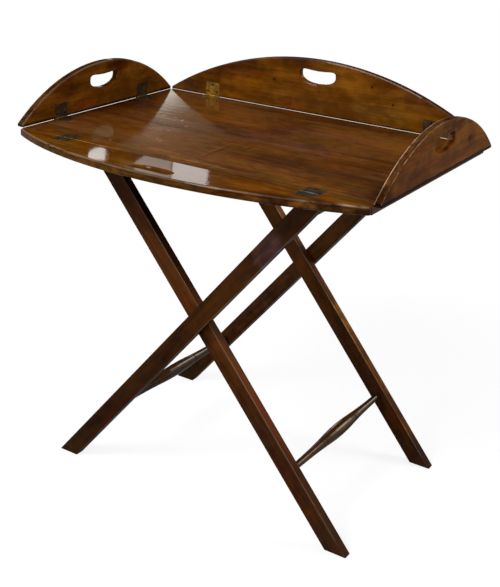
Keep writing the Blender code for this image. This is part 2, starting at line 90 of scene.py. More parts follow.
# Wood in the making: its material, tree and shader, its grain coordinates and its colour.
Wood = namedtuple("Wood", "material tree shader vector colour")

# How one flap's wood looks: strength of its colours, which is partly painted light, its gloss,
# how brightly and how widely its arris is rubbed, which also paints its highlight, tints of its
# rim
# and of its bottom strip, where the tint is painted shade, that strip's height, and its marks.
FlapLook = namedtuple("FlapLook", "shade gloss worn width rim foot foot_height marks")


class TrayWoodSettings(bpy.types.PropertyGroup):
    """Colours, roughness and sizes of the wood."""
    board_light: FloatVectorProperty(
        name="Board Light", description="Pale wood of the board", subtype="COLOR",
        default=(0.180, 0.064, 0.011), min=0, max=1)
    board_dark: FloatVectorProperty(
        name="Board Dark", description="Dark wood of the board", subtype="COLOR",
        default=(0.068, 0.022, 0.0045), min=0, max=1)
    flap_light: FloatVectorProperty(
        name="Flap Light", description="Pale wood of the flaps", subtype="COLOR",
        default=(0.190, 0.066, 0.004), min=0, max=1)
    flap_dark: FloatVectorProperty(
        name="Flap Dark", description="Dark wood of the flaps", subtype="COLOR",
        default=(0.078, 0.023, 0.0015), min=0, max=1)
    leg_light: FloatVectorProperty(
        name="Stand Light", description="Pale wood of the stand", subtype="COLOR",
        default=(0.084, 0.026, 0.0045), min=0, max=1)
    leg_dark: FloatVectorProperty(
        name="Stand Dark", description="Dark wood of the stand", subtype="COLOR",
        default=(0.026, 0.0085, 0.0025), min=0, max=1)
    # Colour of rubbed arrises, which also stands for their painted highlight.
    worn: FloatVectorProperty(
        name="Worn Arris", description="Rubbed wood on worn edges", subtype="COLOR",
        default=(0.42, 0.27, 0.16), min=0, max=1)
    board_roughness: FloatProperty(
        name="Board Roughness", description="Roughness of the polished board",
        default=0.07, min=0, max=1, subtype="FACTOR")
    flap_roughness: FloatProperty(
        name="Flap Roughness", description="Roughness of the polished flaps",
        default=0.05, min=0, max=1, subtype="FACTOR")
    leg_roughness: FloatProperty(
        name="Stand Roughness", description="Roughness of the stand's varnish",
        default=0.36, min=0, max=1, subtype="FACTOR")
    turned_roughness: FloatProperty(
        name="Turned Roughness", description="Roughness of the rails' and stretchers' varnish",
        default=0.14, min=0, max=1, subtype="FACTOR")
    flap_height: FloatVectorProperty(
        name="Flap Heights", description="Height of the long flaps and of the short ones",
        size=2, default=(0.118, 0.100), min=0.05, max=0.3, unit="LENGTH")
    flap_tip: FloatProperty(
        name="Flap Tip", description="Height of a flap at its two ends", default=0.005,
        min=0, max=0.03, subtype="DISTANCE", unit="LENGTH")
    flap_thickness: FloatProperty(
        name="Flap Thickness", description="Thickness of a flap", default=0.015,
        min=0.005, max=0.03, subtype="DISTANCE", unit="LENGTH")
    lean: FloatProperty(
        name="Leg Lean", description="How far the legs lean from upright",
        default=math.radians(39.4), min=0, max=math.pi / 2, subtype="ANGLE", unit="ROTATION")
    leg_width: FloatProperty(
        name="Leg Width", description="Width of a leg", default=0.037,
        min=0.02, max=0.06, subtype="DISTANCE", unit="LENGTH")


class TrayFittingSettings(bpy.types.PropertyGroup):
    """Sizes and colours of the brass and steel fittings."""
    brass_dull: FloatVectorProperty(
        name="Dull Brass", description="Patina on the brass", subtype="COLOR",
        default=(0.060, 0.048, 0.022), min=0, max=1)
    brass_bright: FloatVectorProperty(
        name="Bright Brass", description="Brass where it is rubbed", subtype="COLOR",
        default=(0.22, 0.17, 0.055), min=0, max=1)
    steel: FloatVectorProperty(
        name="Steel", description="Darkened steel", subtype="COLOR",
        default=(0.16, 0.15, 0.14), min=0, max=1)
    screw_inset: FloatProperty(
        name="Screw Inset", description="Screw middle to leaf edge", default=0.006,
        min=0.003, max=0.012, subtype="DISTANCE", unit="LENGTH")
    screw_radius: FloatProperty(
        name="Screw Head Radius", description="Radius of a screw head", default=0.0032,
        min=0.002, max=0.006, subtype="DISTANCE", unit="LENGTH")
    screw_neck: FloatProperty(
        name="Screw Neck Radius", description="Radius under a screw head", default=0.00155,
        min=0.001, max=0.003, subtype="DISTANCE", unit="LENGTH")
    screw_depth: FloatProperty(
        name="Screw Head Depth", description="Depth of a screw head", default=0.0012,
        min=0.0005, max=0.003, subtype="DISTANCE", unit="LENGTH")
    slot_width: FloatProperty(
        name="Slot Width", description="Width of a screw's slot", default=0.0008,
        min=0.0003, max=0.002, subtype="DISTANCE", unit="LENGTH")
    slot_depth: FloatProperty(
        name="Slot Depth", description="Depth of a screw's slot", default=0.0006,
        min=0.0002, max=0.001, subtype="DISTANCE", unit="LENGTH")
    screw_tone: FloatProperty(
        name="Screw Tone", description="Brightness of the screws beside the leaves",
        default=0.30, min=0, max=1, subtype="FACTOR")
    screw_sides: IntProperty(
        name="Screw Sides", description="Sides of a round screw head", default=20,
        min=8, max=64)


class TrayStrapSettings(bpy.types.PropertyGroup):
    """Sizes and colours of the webbing straps and their tacks."""
    pale: FloatVectorProperty(
        name="Pale Yarn", description="Pale yarn of the webbing", subtype="COLOR",
        default=(0.25, 0.18, 0.11), min=0, max=1)
    dark: FloatVectorProperty(
        name="Dark Yarn", description="Dark yarn of the webbing", subtype="COLOR",
        default=(0.085, 0.050, 0.030), min=0, max=1)
    thickness: FloatProperty(
        name="Strap Thickness", description="Thickness of the webbing", default=0.0015,
        min=0.0005, max=0.004, subtype="DISTANCE", unit="LENGTH")
    turn_radius: FloatProperty(
        name="Turn Radius", description="Turn over the rail's corner", default=0.0013,
        min=0.0005, max=0.01, subtype="DISTANCE", unit="LENGTH")
    lap: FloatProperty(
        name="Lap", description="Length held against the rail's outer face", default=0.0238,
        min=0.01, max=0.06, subtype="DISTANCE", unit="LENGTH")
    sag: FloatProperty(
        name="Sag", description="Sag between the rails", default=0.0035,
        min=0, max=0.02, subtype="DISTANCE", unit="LENGTH")
    tack_radius: FloatProperty(
        name="Tack Radius", description="Radius of a tack's domed head", default=0.0042,
        min=0.002, max=0.008, subtype="DISTANCE", unit="LENGTH")
    tack_height: FloatProperty(
        name="Tack Height", description="Height of a tack's domed head", default=0.0016,
        min=0.0005, max=0.004, subtype="DISTANCE", unit="LENGTH")
    tacks: IntProperty(
        name="Tacks", description="Tacks in a row at each strap end", default=4, min=2, max=8)


class TrayStageSettings(bpy.types.PropertyGroup):
    """The camera, the even light and the floor."""
    azimuth: FloatProperty(
        name="Azimuth", description="Turn of the camera about the object",
        default=math.radians(32.0687), subtype="ANGLE", unit="ROTATION")
    elevation: FloatProperty(
        name="Elevation", description="Camera above the horizon",
        default=math.radians(23.1743), subtype="ANGLE", unit="ROTATION")
    roll: FloatProperty(
        name="Roll", description="Turn of the camera about its view",
        default=math.radians(2.303), subtype="ANGLE", unit="ROTATION")
    distance: FloatProperty(
        name="Distance", description="Camera to the point that it looks at",
        default=2.19247, min=0.5, subtype="DISTANCE", unit="LENGTH")
    target: FloatVectorProperty(
        name="Target", description="Point that the camera looks at",
        default=(0.02432, 0.02316, 0.41230), subtype="TRANSLATION", unit="LENGTH")
    lens: FloatProperty(
        name="Focal Length", description="Focal length for a 36 mm sensor", default=64.534,
        min=10)
    ambient: FloatProperty(
        name="Ambient", description="Strength of the even light", default=0.36, min=0)
    floor_size: FloatProperty(
        name="Floor Size", description="Width of the floor", default=60,
        min=5, subtype="DISTANCE", unit="LENGTH")


def box_corners(name):
    """Return the two corners of the box of a node of the frame."""
    return [Vector(corner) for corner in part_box(name)]


def feed(tree, socket, value):
    """Link a socket to a node's input, or set the input to a plain value."""
    if isinstance(value, bpy.types.NodeSocket):
        tree.links.new(value, socket)
    else:
        socket.default_value = value


def add_node(tree, kind, inputs, **options):
    """Add a shader node with its options, and feed its inputs."""
    node = tree.nodes.new(kind)
    for name, value in options.items():
        setattr(node, name, value)
    for name, value in inputs.items():
        feed(tree, node.inputs[name], value)
    return node


def calculate(tree, operation, *values):
    """Return the result of a Math node."""
    return add_node(tree, "ShaderNodeMath", dict(enumerate(values)),
                    operation=operation).outputs[0]


def smooth_step(tree, value, low, high):
    """Return a smooth rise from 0 at low to 1 at high, which may be the lesser of the two."""
    inputs = {"Value": value, "From Min": low, "From Max": high}
    return add_node(tree, "ShaderNodeMapRange", inputs,
                    interpolation_type="SMOOTHSTEP").outputs["Result"]


def mix_colour(tree, factor, first, second, blend="MIX"):
    """Return a mix of two colours, which are the Mix node's sockets 6 and 7."""
    return add_node(tree, "ShaderNodeMix", {0: factor, 6: first, 7: second},
                    data_type="RGBA", blend_type=blend).outputs[2]


def multiply_colours(tree, first, second):
    """Return the product of two colours."""
    return mix_colour(tree, 1.0, first, second, "MULTIPLY")


def tint_where(tree, mask, colour, tint):
    """Return a colour that is multiplied by a tint where a mask is 1."""
    return mix_colour(tree, mask, colour, multiply_colours(tree, colour, tint))


def mix_shaders(tree, factor, first, second):
    """Return a mix of two shaders."""
    return add_node(tree, "ShaderNodeMixShader", {0: factor, 1: first, 2: second}).outputs[0]


def scale_colour(colour, scale):
    """Return a colour times a number."""
    return [part * scale for part in colour]


def vector_length(tree, vector):
    """Return the length of a vector."""
    return add_node(tree, "ShaderNodeVectorMath", {0: vector},
                    operation="LENGTH").outputs["Value"]


def stretched_noise(tree, vector, scale, detail, distortion=0.0, place=(0, 0, 0)):
    """Return noise with a scale of its own along each axis."""
    mapped = add_node(tree, "ShaderNodeMapping",
                      {"Vector": vector, "Scale": scale, "Location": place})
    inputs = {"Vector": mapped.outputs["Vector"], "Scale": 1.0, "Detail": detail,
              "Distortion": distortion}
    return add_node(tree, "ShaderNodeTexNoise", inputs).outputs["Fac"]


def start_group(name, inputs, outputs):
    """Make a shader group, and return its tree and its two end nodes.

    The inputs and outputs give the kind of each named socket.
    """
    tree = bpy.data.node_groups.new(name, "ShaderNodeTree")
    for in_out, sockets in (("INPUT", inputs), ("OUTPUT", outputs)):
        for label, kind in sockets.items():
            tree.interface.new_socket(label, in_out=in_out, socket_type="NodeSocket" + kind)
    return tree, tree.nodes.new("NodeGroupInput"), tree.nodes.new("NodeGroupOutput")


def add_group(tree, name, build, inputs):
    """Place a shader group in a tree and feed it. It is built on its first use."""
    group = bpy.data.node_groups.get(name) or build(name)
    return add_node(tree, "ShaderNodeGroup", inputs, node_tree=group)


# Layers of the grain: share, scale along the three axes, detail, distortion and place.
GRAIN_LAYERS = {
    "figure": (0.38, (3, 11, 11), 4, 1.1, (3.1, 1.7, 0.4)),
    "bands": (0.24, (4.5, 60, 60), 5, 0.9, (0, 0, 0)),
    "streaks": (0.16, (16, 260, 260), 3, 0.3, (0.7, 2.2, 5.1)),
    "mottle": (0.22, (38, 55, 55), 5, 0.5, (1.9, 4.2, 0.8)),
}

# Tints of cooler, warmer and redder wood.
COOL_TINT = (0.95, 0.98, 1.45, 1)
WARM_TINT = (1.05, 1.02, 0.65, 1)
RED_TINT = (1.22, 0.84, 0.80, 1)


def build_wood_grain(name):
    """Build the grain along the vector's X: slow figure, bands, streaks and open pores."""
    tree, source, result = start_group(
        name, {"Vector": "Vector", "Light": "Color", "Dark": "Color"},
        {"Color": "Color", "Height": "Float"})
    vector = source.outputs["Vector"]
    layers = {}
    level = 0.0
    for label, (share, *settings) in GRAIN_LAYERS.items():
        layers[label] = stretched_noise(tree, vector, *settings)
        level = calculate(tree, "MULTIPLY_ADD", layers[label], share, level)
    dashes = stretched_noise(tree, vector, (95, 1300, 1300), 1)
    pores = smooth_step(tree, dashes, 0.60, 0.72)
    colour = mix_colour(tree, smooth_step(tree, level, 0.395, 0.625),
                        source.outputs["Dark"], source.outputs["Light"])
    tone = stretched_noise(tree, vector, (4, 9, 9), 3, 0.6, (8.2, 0.3, 6.6))
    cast = mix_colour(tree, smooth_step(tree, tone, 0.36, 0.64), COOL_TINT, WARM_TINT)
    warmth = stretched_noise(tree, vector, (7, 34, 34), 4, 0.8, (2.7, 5.3, 1.1))
    red = mix_colour(tree, smooth_step(tree, warmth, 0.52, 0.70), WHITE, RED_TINT)
    colour = multiply_colours(tree, multiply_colours(tree, colour, cast), red)
    colour = mix_colour(tree, calculate(tree, "MULTIPLY", pores, 0.40), colour,
                        source.outputs["Dark"])
    height = calculate(tree, "SUBTRACT", layers["streaks"],
                       calculate(tree, "MULTIPLY", pores, 0.3))
    feed(tree, result.inputs["Color"], colour)
    feed(tree, result.inputs["Height"], height)
    return tree


def combine_grey(tree, value):
    """Return a grey colour of a value."""
    inputs = {"Red": value, "Green": value, "Blue": value}
    return add_node(tree, "ShaderNodeCombineColor", inputs).outputs["Color"]


def build_varnish(name):
    """Build the varnish: faint ripples, rubbed haze and small dents."""
    tree, source, result = start_group(
        name, {"Vector": "Vector", "Roughness": "Float"},
        {"Roughness": "Float", "Height": "Float"})
    vector = source.outputs["Vector"]
    haze = stretched_noise(tree, vector, (5, 14, 14), 3, 0.5, (1.3, 0.2, 2.0))
    ripples = stretched_noise(tree, vector, (4, 60, 60), 2, 0.2)
    dents = smooth_step(tree, stretched_noise(tree, vector, (70, 70, 70), 1), 0.70, 0.78)
    rub = calculate(tree, "MULTIPLY_ADD", smooth_step(tree, haze, 0.40, 0.80), 0.9, 0.8)
    feed(tree, result.inputs["Roughness"],
         calculate(tree, "MULTIPLY", source.outputs["Roughness"], rub))
    feed(tree, result.inputs["Height"],
         calculate(tree, "SUBTRACT", ripples, calculate(tree, "MULTIPLY", dents, 0.6)))
    return tree


def build_arris_rubbing_and_highlight(name):
    """Build an arris's wear and painted highlight, from how deep a point lies behind its two
    faces.
    """
    tree, source, result = start_group(
        name, {"Vector": "Vector", "First Depth": "Float", "Second Depth": "Float",
               "Width": "Float"},
        {"Wear": "Float"})
    depth = calculate(tree, "ADD", source.outputs["First Depth"],
                      source.outputs["Second Depth"])
    chips = stretched_noise(tree, source.outputs["Vector"], (18, 160, 160), 4)
    width = calculate(tree, "MULTIPLY", source.outputs["Width"],
                      calculate(tree, "MULTIPLY_ADD", chips, 0.5, 0.75))
    edge = smooth_step(tree, calculate(tree, "DIVIDE", depth, width), 1.0, 0.75)
    feed(tree, result.inputs["Wear"],
         calculate(tree, "MULTIPLY", edge, smooth_step(tree, chips, 0.28, 0.50)))
    return tree


def build_mark(name):
    """Build a soft mark of a given middle and half size, 1 inside and 0 outside."""
    tree, source, result = start_group(
        name, {"Vector": "Vector", "Centre": "Vector", "Half Size": "Vector"},
        {"Mask": "Float"})
    vector = source.outputs["Vector"]
    shake = add_node(tree, "ShaderNodeTexNoise",
                     {"Vector": vector, "Scale": 45.0, "Detail": 3.0}).outputs["Fac"]
    placed = add_node(tree, "ShaderNodeMapping",
                      {"Vector": vector, "Location": source.outputs["Centre"],
                       "Scale": source.outputs["Half Size"]}, vector_type="TEXTURE")
    reach = vector_length(tree, placed.outputs["Vector"])
    rough = calculate(tree, "MULTIPLY_ADD", shake, 0.7, reach)
    feed(tree, result.inputs["Mask"], smooth_step(tree, rough, 1.35, 0.65))
    return tree


def start_material(name):
    """Make a material, and return it with its tree, its shader and its coordinates."""
    material = bpy.data.materials.new(name)
    material.use_nodes = True
    tree = material.node_tree
    vector = tree.nodes.new("ShaderNodeTexCoord").outputs["Object"]
    return material, tree, tree.nodes["Principled BSDF"], vector


def dress_node(name, material):
    """Give a node of the frame a finished material."""
    for slot in frame["nodes"][name].material_slots:
        slot.material = material


def add_bump(tree, shader, height, strength, distance):
    """Let a height shape the shader's surface."""
    bump = add_node(tree, "ShaderNodeBump",
                    {"Height": height, "Strength": strength, "Distance": distance})
    feed(tree, shader.inputs["Normal"], bump.outputs["Normal"])


# Height of the grain and the varnish at full relief, and the grain's share of it.
WOOD_BUMP = 0.0006
GRAIN_SHARE = 0.16


def start_wood(name, place, colours, roughness, relief, gloss):
    """Return varnished wood whose grain runs along the X of a place on the object."""
    material, tree, shader, vector = start_material(name)
    placed = add_node(tree, "ShaderNodeMapping",
                      {"Vector": vector, "Location": place.translation,
                       "Rotation": place.to_euler()}, vector_type="TEXTURE")
    vector = placed.outputs["Vector"]
    light, dark = colours
    grain = add_group(tree, "wood_grain", build_wood_grain,
                      {"Vector": vector, "Light": (*light, 1), "Dark": (*dark, 1)})
    varnish = add_group(tree, "varnish", build_varnish,
                        {"Vector": vector, "Roughness": roughness})
    height = calculate(tree, "MULTIPLY_ADD", grain.outputs["Height"], GRAIN_SHARE,
                       varnish.outputs["Height"])
    add_bump(tree, shader, height, relief, WOOD_BUMP)
    feed(tree, shader.inputs["Base Color"], grain.outputs["Color"])
    feed(tree, shader.inputs["Roughness"], varnish.outputs["Roughness"])
    shader.inputs["Specular IOR Level"].default_value = gloss
    return Wood(material, tree, shader, vector, grain.outputs["Color"])


def add_marks(tree, vector, colour, marks):
    """Return a colour with soft marks on it, each multiplied by its own tint."""
    for centre, half_size, tint in marks:
        mark = add_group(tree, "mark", build_mark,
                         {"Vector": vector, "Centre": centre, "Half Size": half_size})
        colour = tint_where(tree, mark.outputs["Mask"], colour, (*tint, 1))
    return colour


def add_rubbing_and_highlight(wood, depths, width, colour, worn):
    """Return a colour rubbed along an arris with a painted highlight, by depth behind its faces.
    """
    wear = add_group(wood.tree, "arris_rubbing_and_highlight", build_arris_rubbing_and_highlight,
                     {"Vector": wood.vector, "First Depth": depths[0],
                      "Second Depth": depths[1], "Width": width})
    return mix_colour(wood.tree, wear.outputs["Wear"], colour, (*worn, 1))


def finish_wood(wood, colour, marks):
    """Give wood its colour, with soft marks on it, and return its material."""
    marked = add_marks(wood.tree, wood.vector, colour, marks)
    feed(wood.tree, wood.shader.inputs["Base Color"], marked)
    return wood.material


def depth_behind(tree, value, half, centre):
    """Return how deep a value lies inside a span about a centre."""
    off = calculate(tree, "ABSOLUTE", calculate(tree, "SUBTRACT", value, centre))
    return calculate(tree, "SUBTRACT", half, off)


# Half size of a mark that goes right through the wood.
THROUGH = 9

# Stains, knots, scratches, rubbed places and painted light in the wood: middle, half size and
# tint.
BOARD_MARKS_AND_PAINTED_LIGHT = (
    ((0.012, 0.135, 0), (0.042, 0.075, THROUGH), (0.66, 0.60, 0.90)),
    ((0.374, -0.100, 0), (0.034, 0.080, THROUGH), (0.42, 0.36, 0.40)),
    ((-0.060, -0.120, 0), (0.090, 0.010, THROUGH), (0.78, 0.74, 0.80)),
    ((-0.070, -0.160, 0), (0.170, 0.026, THROUGH), (1.60, 1.75, 1.50)),
    ((0.250, -0.160, 0), (0.140, 0.028, THROUGH), (1.42, 1.60, 1.50)),
    ((0.080, 0.090, 0), (0.260, 0.130, THROUGH), (1.00, 1.08, 1.90)),
    ((-0.005, -0.070, 0), (0.0035, 0.066, THROUGH), (1.40, 1.65, 2.40)),
    ((0.006, -0.090, 0), (0.0040, 0.066, THROUGH), (0.58, 0.58, 0.80)),
    ((0.040, -0.030, 0), (0.0030, 0.042, THROUGH), (0.50, 0.50, 0.62)),
    ((0.105, 0.034, 0), (0.125, 0.0035, THROUGH), (1.35, 1.55, 2.10)),
    ((0.240, 0.000, 0), (0.075, 0.0060, THROUGH), (0.62, 0.58, 0.95)),
    ((0.040, -0.172, 0), (0.100, 0.018, THROUGH), (1.40, 1.50, 1.45)),
    # Painted reflection of the back flap, along the board's back edge.
    ((0.040, 0.262, 0), (0.340, 0.024, THROUGH), (0.62, 0.58, 0.66)),
    ((0.210, 0.060, 0), (0.160, 0.010, THROUGH), (0.72, 0.66, 0.72)),
    ((0.120, -0.130, 0), (0.200, 0.030, THROUGH), (1.26, 1.28, 1.10)),
    # A painted highlight along the front flap's joint.
    ((-0.220, -0.1945, 0), (0.150, 0.0024, THROUGH), (2.80, 3.60, 8.00)),
    ((0.180, -0.1935, 0), (0.200, 0.0025, THROUGH), (0.60, 0.55, 0.60)),
    ((-0.230, -0.060, 0), (0.120, 0.030, THROUGH), (1.14, 0.96, 0.45)),
    # Painted reflection of the left flap, along the board's left end.
    ((-0.388, 0.090, 0), (0.110, 0.210, THROUGH), (0.50, 0.39, 0.24)),
    ((-0.005, 0.247, 0), (0.070, 0.012, THROUGH), (0.66, 0.64, 1.10)),
)
BACK_FLAP_MARKS = (
    ((0.131, 0.079, 0), (0.0045, 0.0035, THROUGH), (0.30, 0.22, 0.20)),
    ((0.183, 0.049, 0), (0.0045, 0.0035, THROUGH), (0.20, 0.18, 0.20)),
    ((-0.108, 0.062, 0), (0.007, 0.0035, THROUGH), (0.40, 0.36, 0.40)),
    ((-0.310, 0.040, 0), (0.11, 0.06, THROUGH), (0.60, 0.54, 0.62)),
    ((0.330, 0.040, 0), (0.10, 0.05, THROUGH), (0.55, 0.50, 0.50)),
    ((-0.020, 0.025, 0), (0.14, 0.018, THROUGH), (1.00, 1.06, 1.50)),
    ((0.150, 0.028, 0), (0.12, 0.022, THROUGH), (1.22, 1.50, 2.20)),
    ((-0.335, 0.012, 0), (0.05, 0.030, THROUGH), (0.60, 0.64, 1.50)),
    ((-0.200, 0.080, 0), (0.12, 0.034, THROUGH), (0.50, 0.50, 1.00)),
    ((-0.055, 0.118, 0), (0.08, 0.030, THROUGH), (0.45, 0.40, 1.20)),
    ((0.165, 0.100, 0), (0.08, 0.030, THROUGH), (0.52, 0.44, 0.50)),
    ((0.240, 0.072, 0), (0.05, 0.030, THROUGH), (0.72, 0.68, 1.20)),
    ((0.090, 0.075, 0), (0.05, 0.030, THROUGH), (1.16, 1.16, 1.00)),
)
LEFT_FLAP_MARKS_AND_PAINTED_SHADE = (
    ((-0.190, 0.006, -0.0075), (0.05, 0.030, THROUGH), (0.85, 0.85, 0.40)),
    # Painted shade inside the hand hole.
    ((0, 0.062, -0.0075), (0.110, 0.050, 0.009), (0.25, 0.20, 0.25)),
    ((0.170, 0.030, 0), (0.05, 0.030, THROUGH), (0.78, 0.80, 1.30)),
    ((-0.060, 0.024, 0), (0.13, 0.026, THROUGH), (1.15, 1.00, 0.60)),
    ((-0.115, 0.062, 0), (0.06, 0.035, THROUGH), (0.66, 0.56, 0.60)),
    ((0.050, 0.088, 0), (0.06, 0.027, THROUGH), (0.42, 0.29, 0.25)),
)
FRONT_FLAP_MARKS_AND_PAINTED_LIGHT = (
    ((-0.250, 0.074, -0.0075), (0.070, 0.026, THROUGH), (0.45, 0.38, 0.42)),
    ((-0.330, 0.040, -0.0075), (0.050, 0.026, THROUGH), (0.40, 0.36, 0.42)),
    # Painted shade at the flap's right end, near its joint.
    ((-0.375, 0.010, -0.011), (0.030, 0.024, 0.008), (0.30, 0.28, 0.34)),
    # A painted glint near the flap's right end.
    ((-0.358, 0.026, 0.001), (0.036, 0.014, 0.004), (2.40, 2.80, 4.50)),
    ((0.340, 0.030, 0), (0.080, 0.030, THROUGH), (1.02, 0.92, 0.95)),
    ((-0.160, 0.036, 0), (0.130, 0.040, THROUGH), (1.24, 1.20, 1.30)),
    # A painted highlight on the rim of the flap's right part.
    ((-0.280, 0.060, -0.0085), (0.140, 0.080, 0.007), (2.60, 2.90, 3.80)),
    ((-0.050, 0.112, 0), (0.200, 0.014, 0.006), (0.62, 0.56, 0.52)),
)
RIGHT_FLAP_MARKS_AND_PAINTED_SHADE = (
    # Painted shade in the low corner at one end of the flap.
    ((0.228, 0.010, -0.0075), (0.040, 0.032, THROUGH), (0.38, 0.36, 0.42)),
    ((-0.120, 0.044, -0.015), (0.014, 0.010, THROUGH), (0.42, 0.34, 0.40)),
    # Painted shade inside the hand hole.
    ((-0.014, 0.070, -0.010), (0.060, 0.045, 0.009), (0.10, 0.07, 0.10)),
    ((-0.062, 0.082, -0.015), (0.026, 0.016, THROUGH), (0.70, 0.62, 0.60)),
    ((0.120, 0.020, -0.015), (0.110, 0.040, THROUGH), (0.80, 0.70, 0.86)),
    ((-0.125, 0.046, -0.015), (0.040, 0.030, THROUGH), (0.62, 0.52, 0.55)),
    ((0.055, 0.018, -0.015), (0.060, 0.016, THROUGH), (1.32, 1.28, 1.45)),
)
# Per flap, the colours' strength is partly painted light, and the bottom strip's tint is painted
# shade.
FLAP_LOOKS = {
    "back": FlapLook(1.33, 0.12, 0.36, 0.0023, (0.60, 0.52, 0.50), (0.45, 0.38, 0.40), 0.003,
                     BACK_FLAP_MARKS),
    "left": FlapLook(1.42, 0.04, 0.40, 0.0023, (0.52, 0.58, 1.80), (0.30, 0.25, 0.30), 0.005,
                     LEFT_FLAP_MARKS_AND_PAINTED_SHADE),
    "front": FlapLook(1.15, 0.14, 0.46, 0.0025, (0.60, 0.68, 0.90), (1, 1, 1), 0,
                      FRONT_FLAP_MARKS_AND_PAINTED_LIGHT),
    "right": FlapLook(1.55, 0.04, 1.20, 0.0029, (0.66, 0.76, 2.40), (0.14, 0.11, 0.16), 0.0065,
                      RIGHT_FLAP_MARKS_AND_PAINTED_SHADE),
}
INNER_LEG_PAINTED_LIGHT = (
    # Painted shade under the tray, high on the front leg's side.
    ((0.260, -0.1975, -0.0205), (0.250, 0.050, 0.004), (0.22, 0.18, 0.22)),
    # Painted light on the back leg's side that faces the light, from low to high.
    ((-0.240, 0.1975, -0.0205), (0.200, 0.050, 0.004), (3.60, 3.50, 2.00)),
    ((-0.440, 0.1975, -0.0205), (0.050, 0.050, 0.004), (2.70, 2.30, 1.20)),
    ((-0.140, 0.1975, -0.0205), (0.100, 0.050, 0.004), (2.50, 2.90, 1.85)),
    ((0.140, 0.1975, -0.0205), (0.140, 0.050, 0.004), (3.00, 3.30, 5.50)),
    # Painted light on the front leg's side, low down.
    ((-0.220, -0.1975, -0.0205), (0.220, 0.050, 0.004), (1.90, 1.60, 1.50)),
    # Painted light that lifts the back leg out of the tray's shade.
    ((0.100, 0.1975, 0), (0.400, 0.030, 0.050), (1.45, 1.50, 1.45)),
    # Painted shade on both legs below the crossing, and more at their lower ends.
    ((-0.300, 0, 0), (0.280, 0.600, 0.050), (0.66, 0.64, 0.80)),
    ((-0.500, -0.1975, 0), (0.080, 0.060, 0.060), (0.56, 0.66, 1.05)),
    ((-0.500, 0.1975, 0), (0.080, 0.060, 0.060), (0.68, 0.76, 1.00)),
)
OUTER_LEG_PAINTED_LIGHT = (
    # A painted sheen on the front leg.
    ((0.256, -0.231, -0.004), (0.058, 0.020, 0.030), (2.10, 2.90, 8.50)),
    # Painted shade on the lower front leg.
    ((-0.240, -0.231, 0), (0.420, 0.060, 0.060), (0.62, 0.64, 0.85)),
    # Painted light that lifts the back leg out of the tray's shade.
    ((0.100, 0.221, 0), (0.500, 0.030, 0.050), (1.80, 2.40, 3.60)),
    # Painted shade at the legs' lower ends.
    ((-0.480, 0.221, 0), (0.110, 0.060, 0.060), (0.56, 0.84, 0.80)),
    ((-0.480, -0.221, 0), (0.090, 0.060, 0.060), (0.72, 0.84, 0.90)),
)

# Brightness of each frame's legs, and the painted light and shade on them.
LEG_SHADES = {"outer": 0.84, "inner": 1.28}
LEG_PAINTED_LIGHT = {"outer": OUTER_LEG_PAINTED_LIGHT, "inner": INNER_LEG_PAINTED_LIGHT}

# Width of the rubbed arrises of the legs, with their painted highlight, and their brightness.
LEG_WEAR_AND_HIGHLIGHT_WIDTH = 0.0016
LEG_WEAR_AND_HIGHLIGHT_SHADE = 0.40

# How far under a flap's joint its inner face lies.
FLAP_SINK = 0.0006

# How deep behind a flap's rim the rim's tint starts and is full, the same above the height of
# the painted shade along the flap's bottom, and how much of the rim's tint its mottled parts
# keep.
RIM_FADE = (0.0036, 0.0020)
PAINTED_FOOT_SHADE_FADE = (0.0025, 0.0010)
RIM_MOTTLE = 0.55

# How far noise moves the edges of these tints.
EDGE_SMEAR = 0.003

# Tint of the varnish on the rails and the turned stretchers.
TURNED_TINT = (0.78, 0.95, 1.30)


def axes_matrix(x_axis, y_axis, z_axis):
    """Return the turn that sets X, Y and Z along three directions."""
    return Matrix((x_axis, y_axis, z_axis)).transposed().to_4x4()


def joint_place(side, point, turned):
    """Return a place on a flap's joint: X along it, Y away from the board, Z up.

    A turned place is turned up with the flap.
    """
    joint = JOINTS[side + "_flap_fold"]
    along = Vector(joint["axis"])
    place = Matrix.Translation(point) @ axes_matrix(along, UP.cross(along), UP)
    turn = Matrix.Rotation(-math.radians(joint["range_deg"][0]), 4, "X")
    return place @ turn if turned else place


def board_material(settings):
    """Return the polished wood of the tray board, with its marks and painted light."""
    wood = start_wood("board_polish", Matrix(), (settings.board_light, settings.board_dark),
                      settings.board_roughness, relief=0.13, gloss=0.30)
    return finish_wood(wood, wood.colour, BOARD_MARKS_AND_PAINTED_LIGHT)


def flap_depths(settings, side, tree, parts):
    """Return how deep a point lies behind a flap's arc, and behind its two faces."""
    height = settings.flap_height[0 if side in LONG_SIDES else 1]
    rise = height - settings.flap_tip
    low, high = box_corners(side + "_flap")
    half_span = abs((high - low).dot(Vector(JOINTS[side + "_flap_fold"]["axis"]))) / 2
    radius = (half_span ** 2 + rise ** 2) / (2 * rise)
    centred = add_node(tree, "ShaderNodeCombineXYZ",
                       {"X": parts.outputs["X"],
                        "Y": calculate(tree, "SUBTRACT", parts.outputs["Y"], height - radius)})
    reach = vector_length(tree, centred.outputs["Vector"])
    half = settings.flap_thickness / 2
    return (calculate(tree, "SUBTRACT", radius, reach),
            depth_behind(tree, parts.outputs["Z"], half, -half - FLAP_SINK))


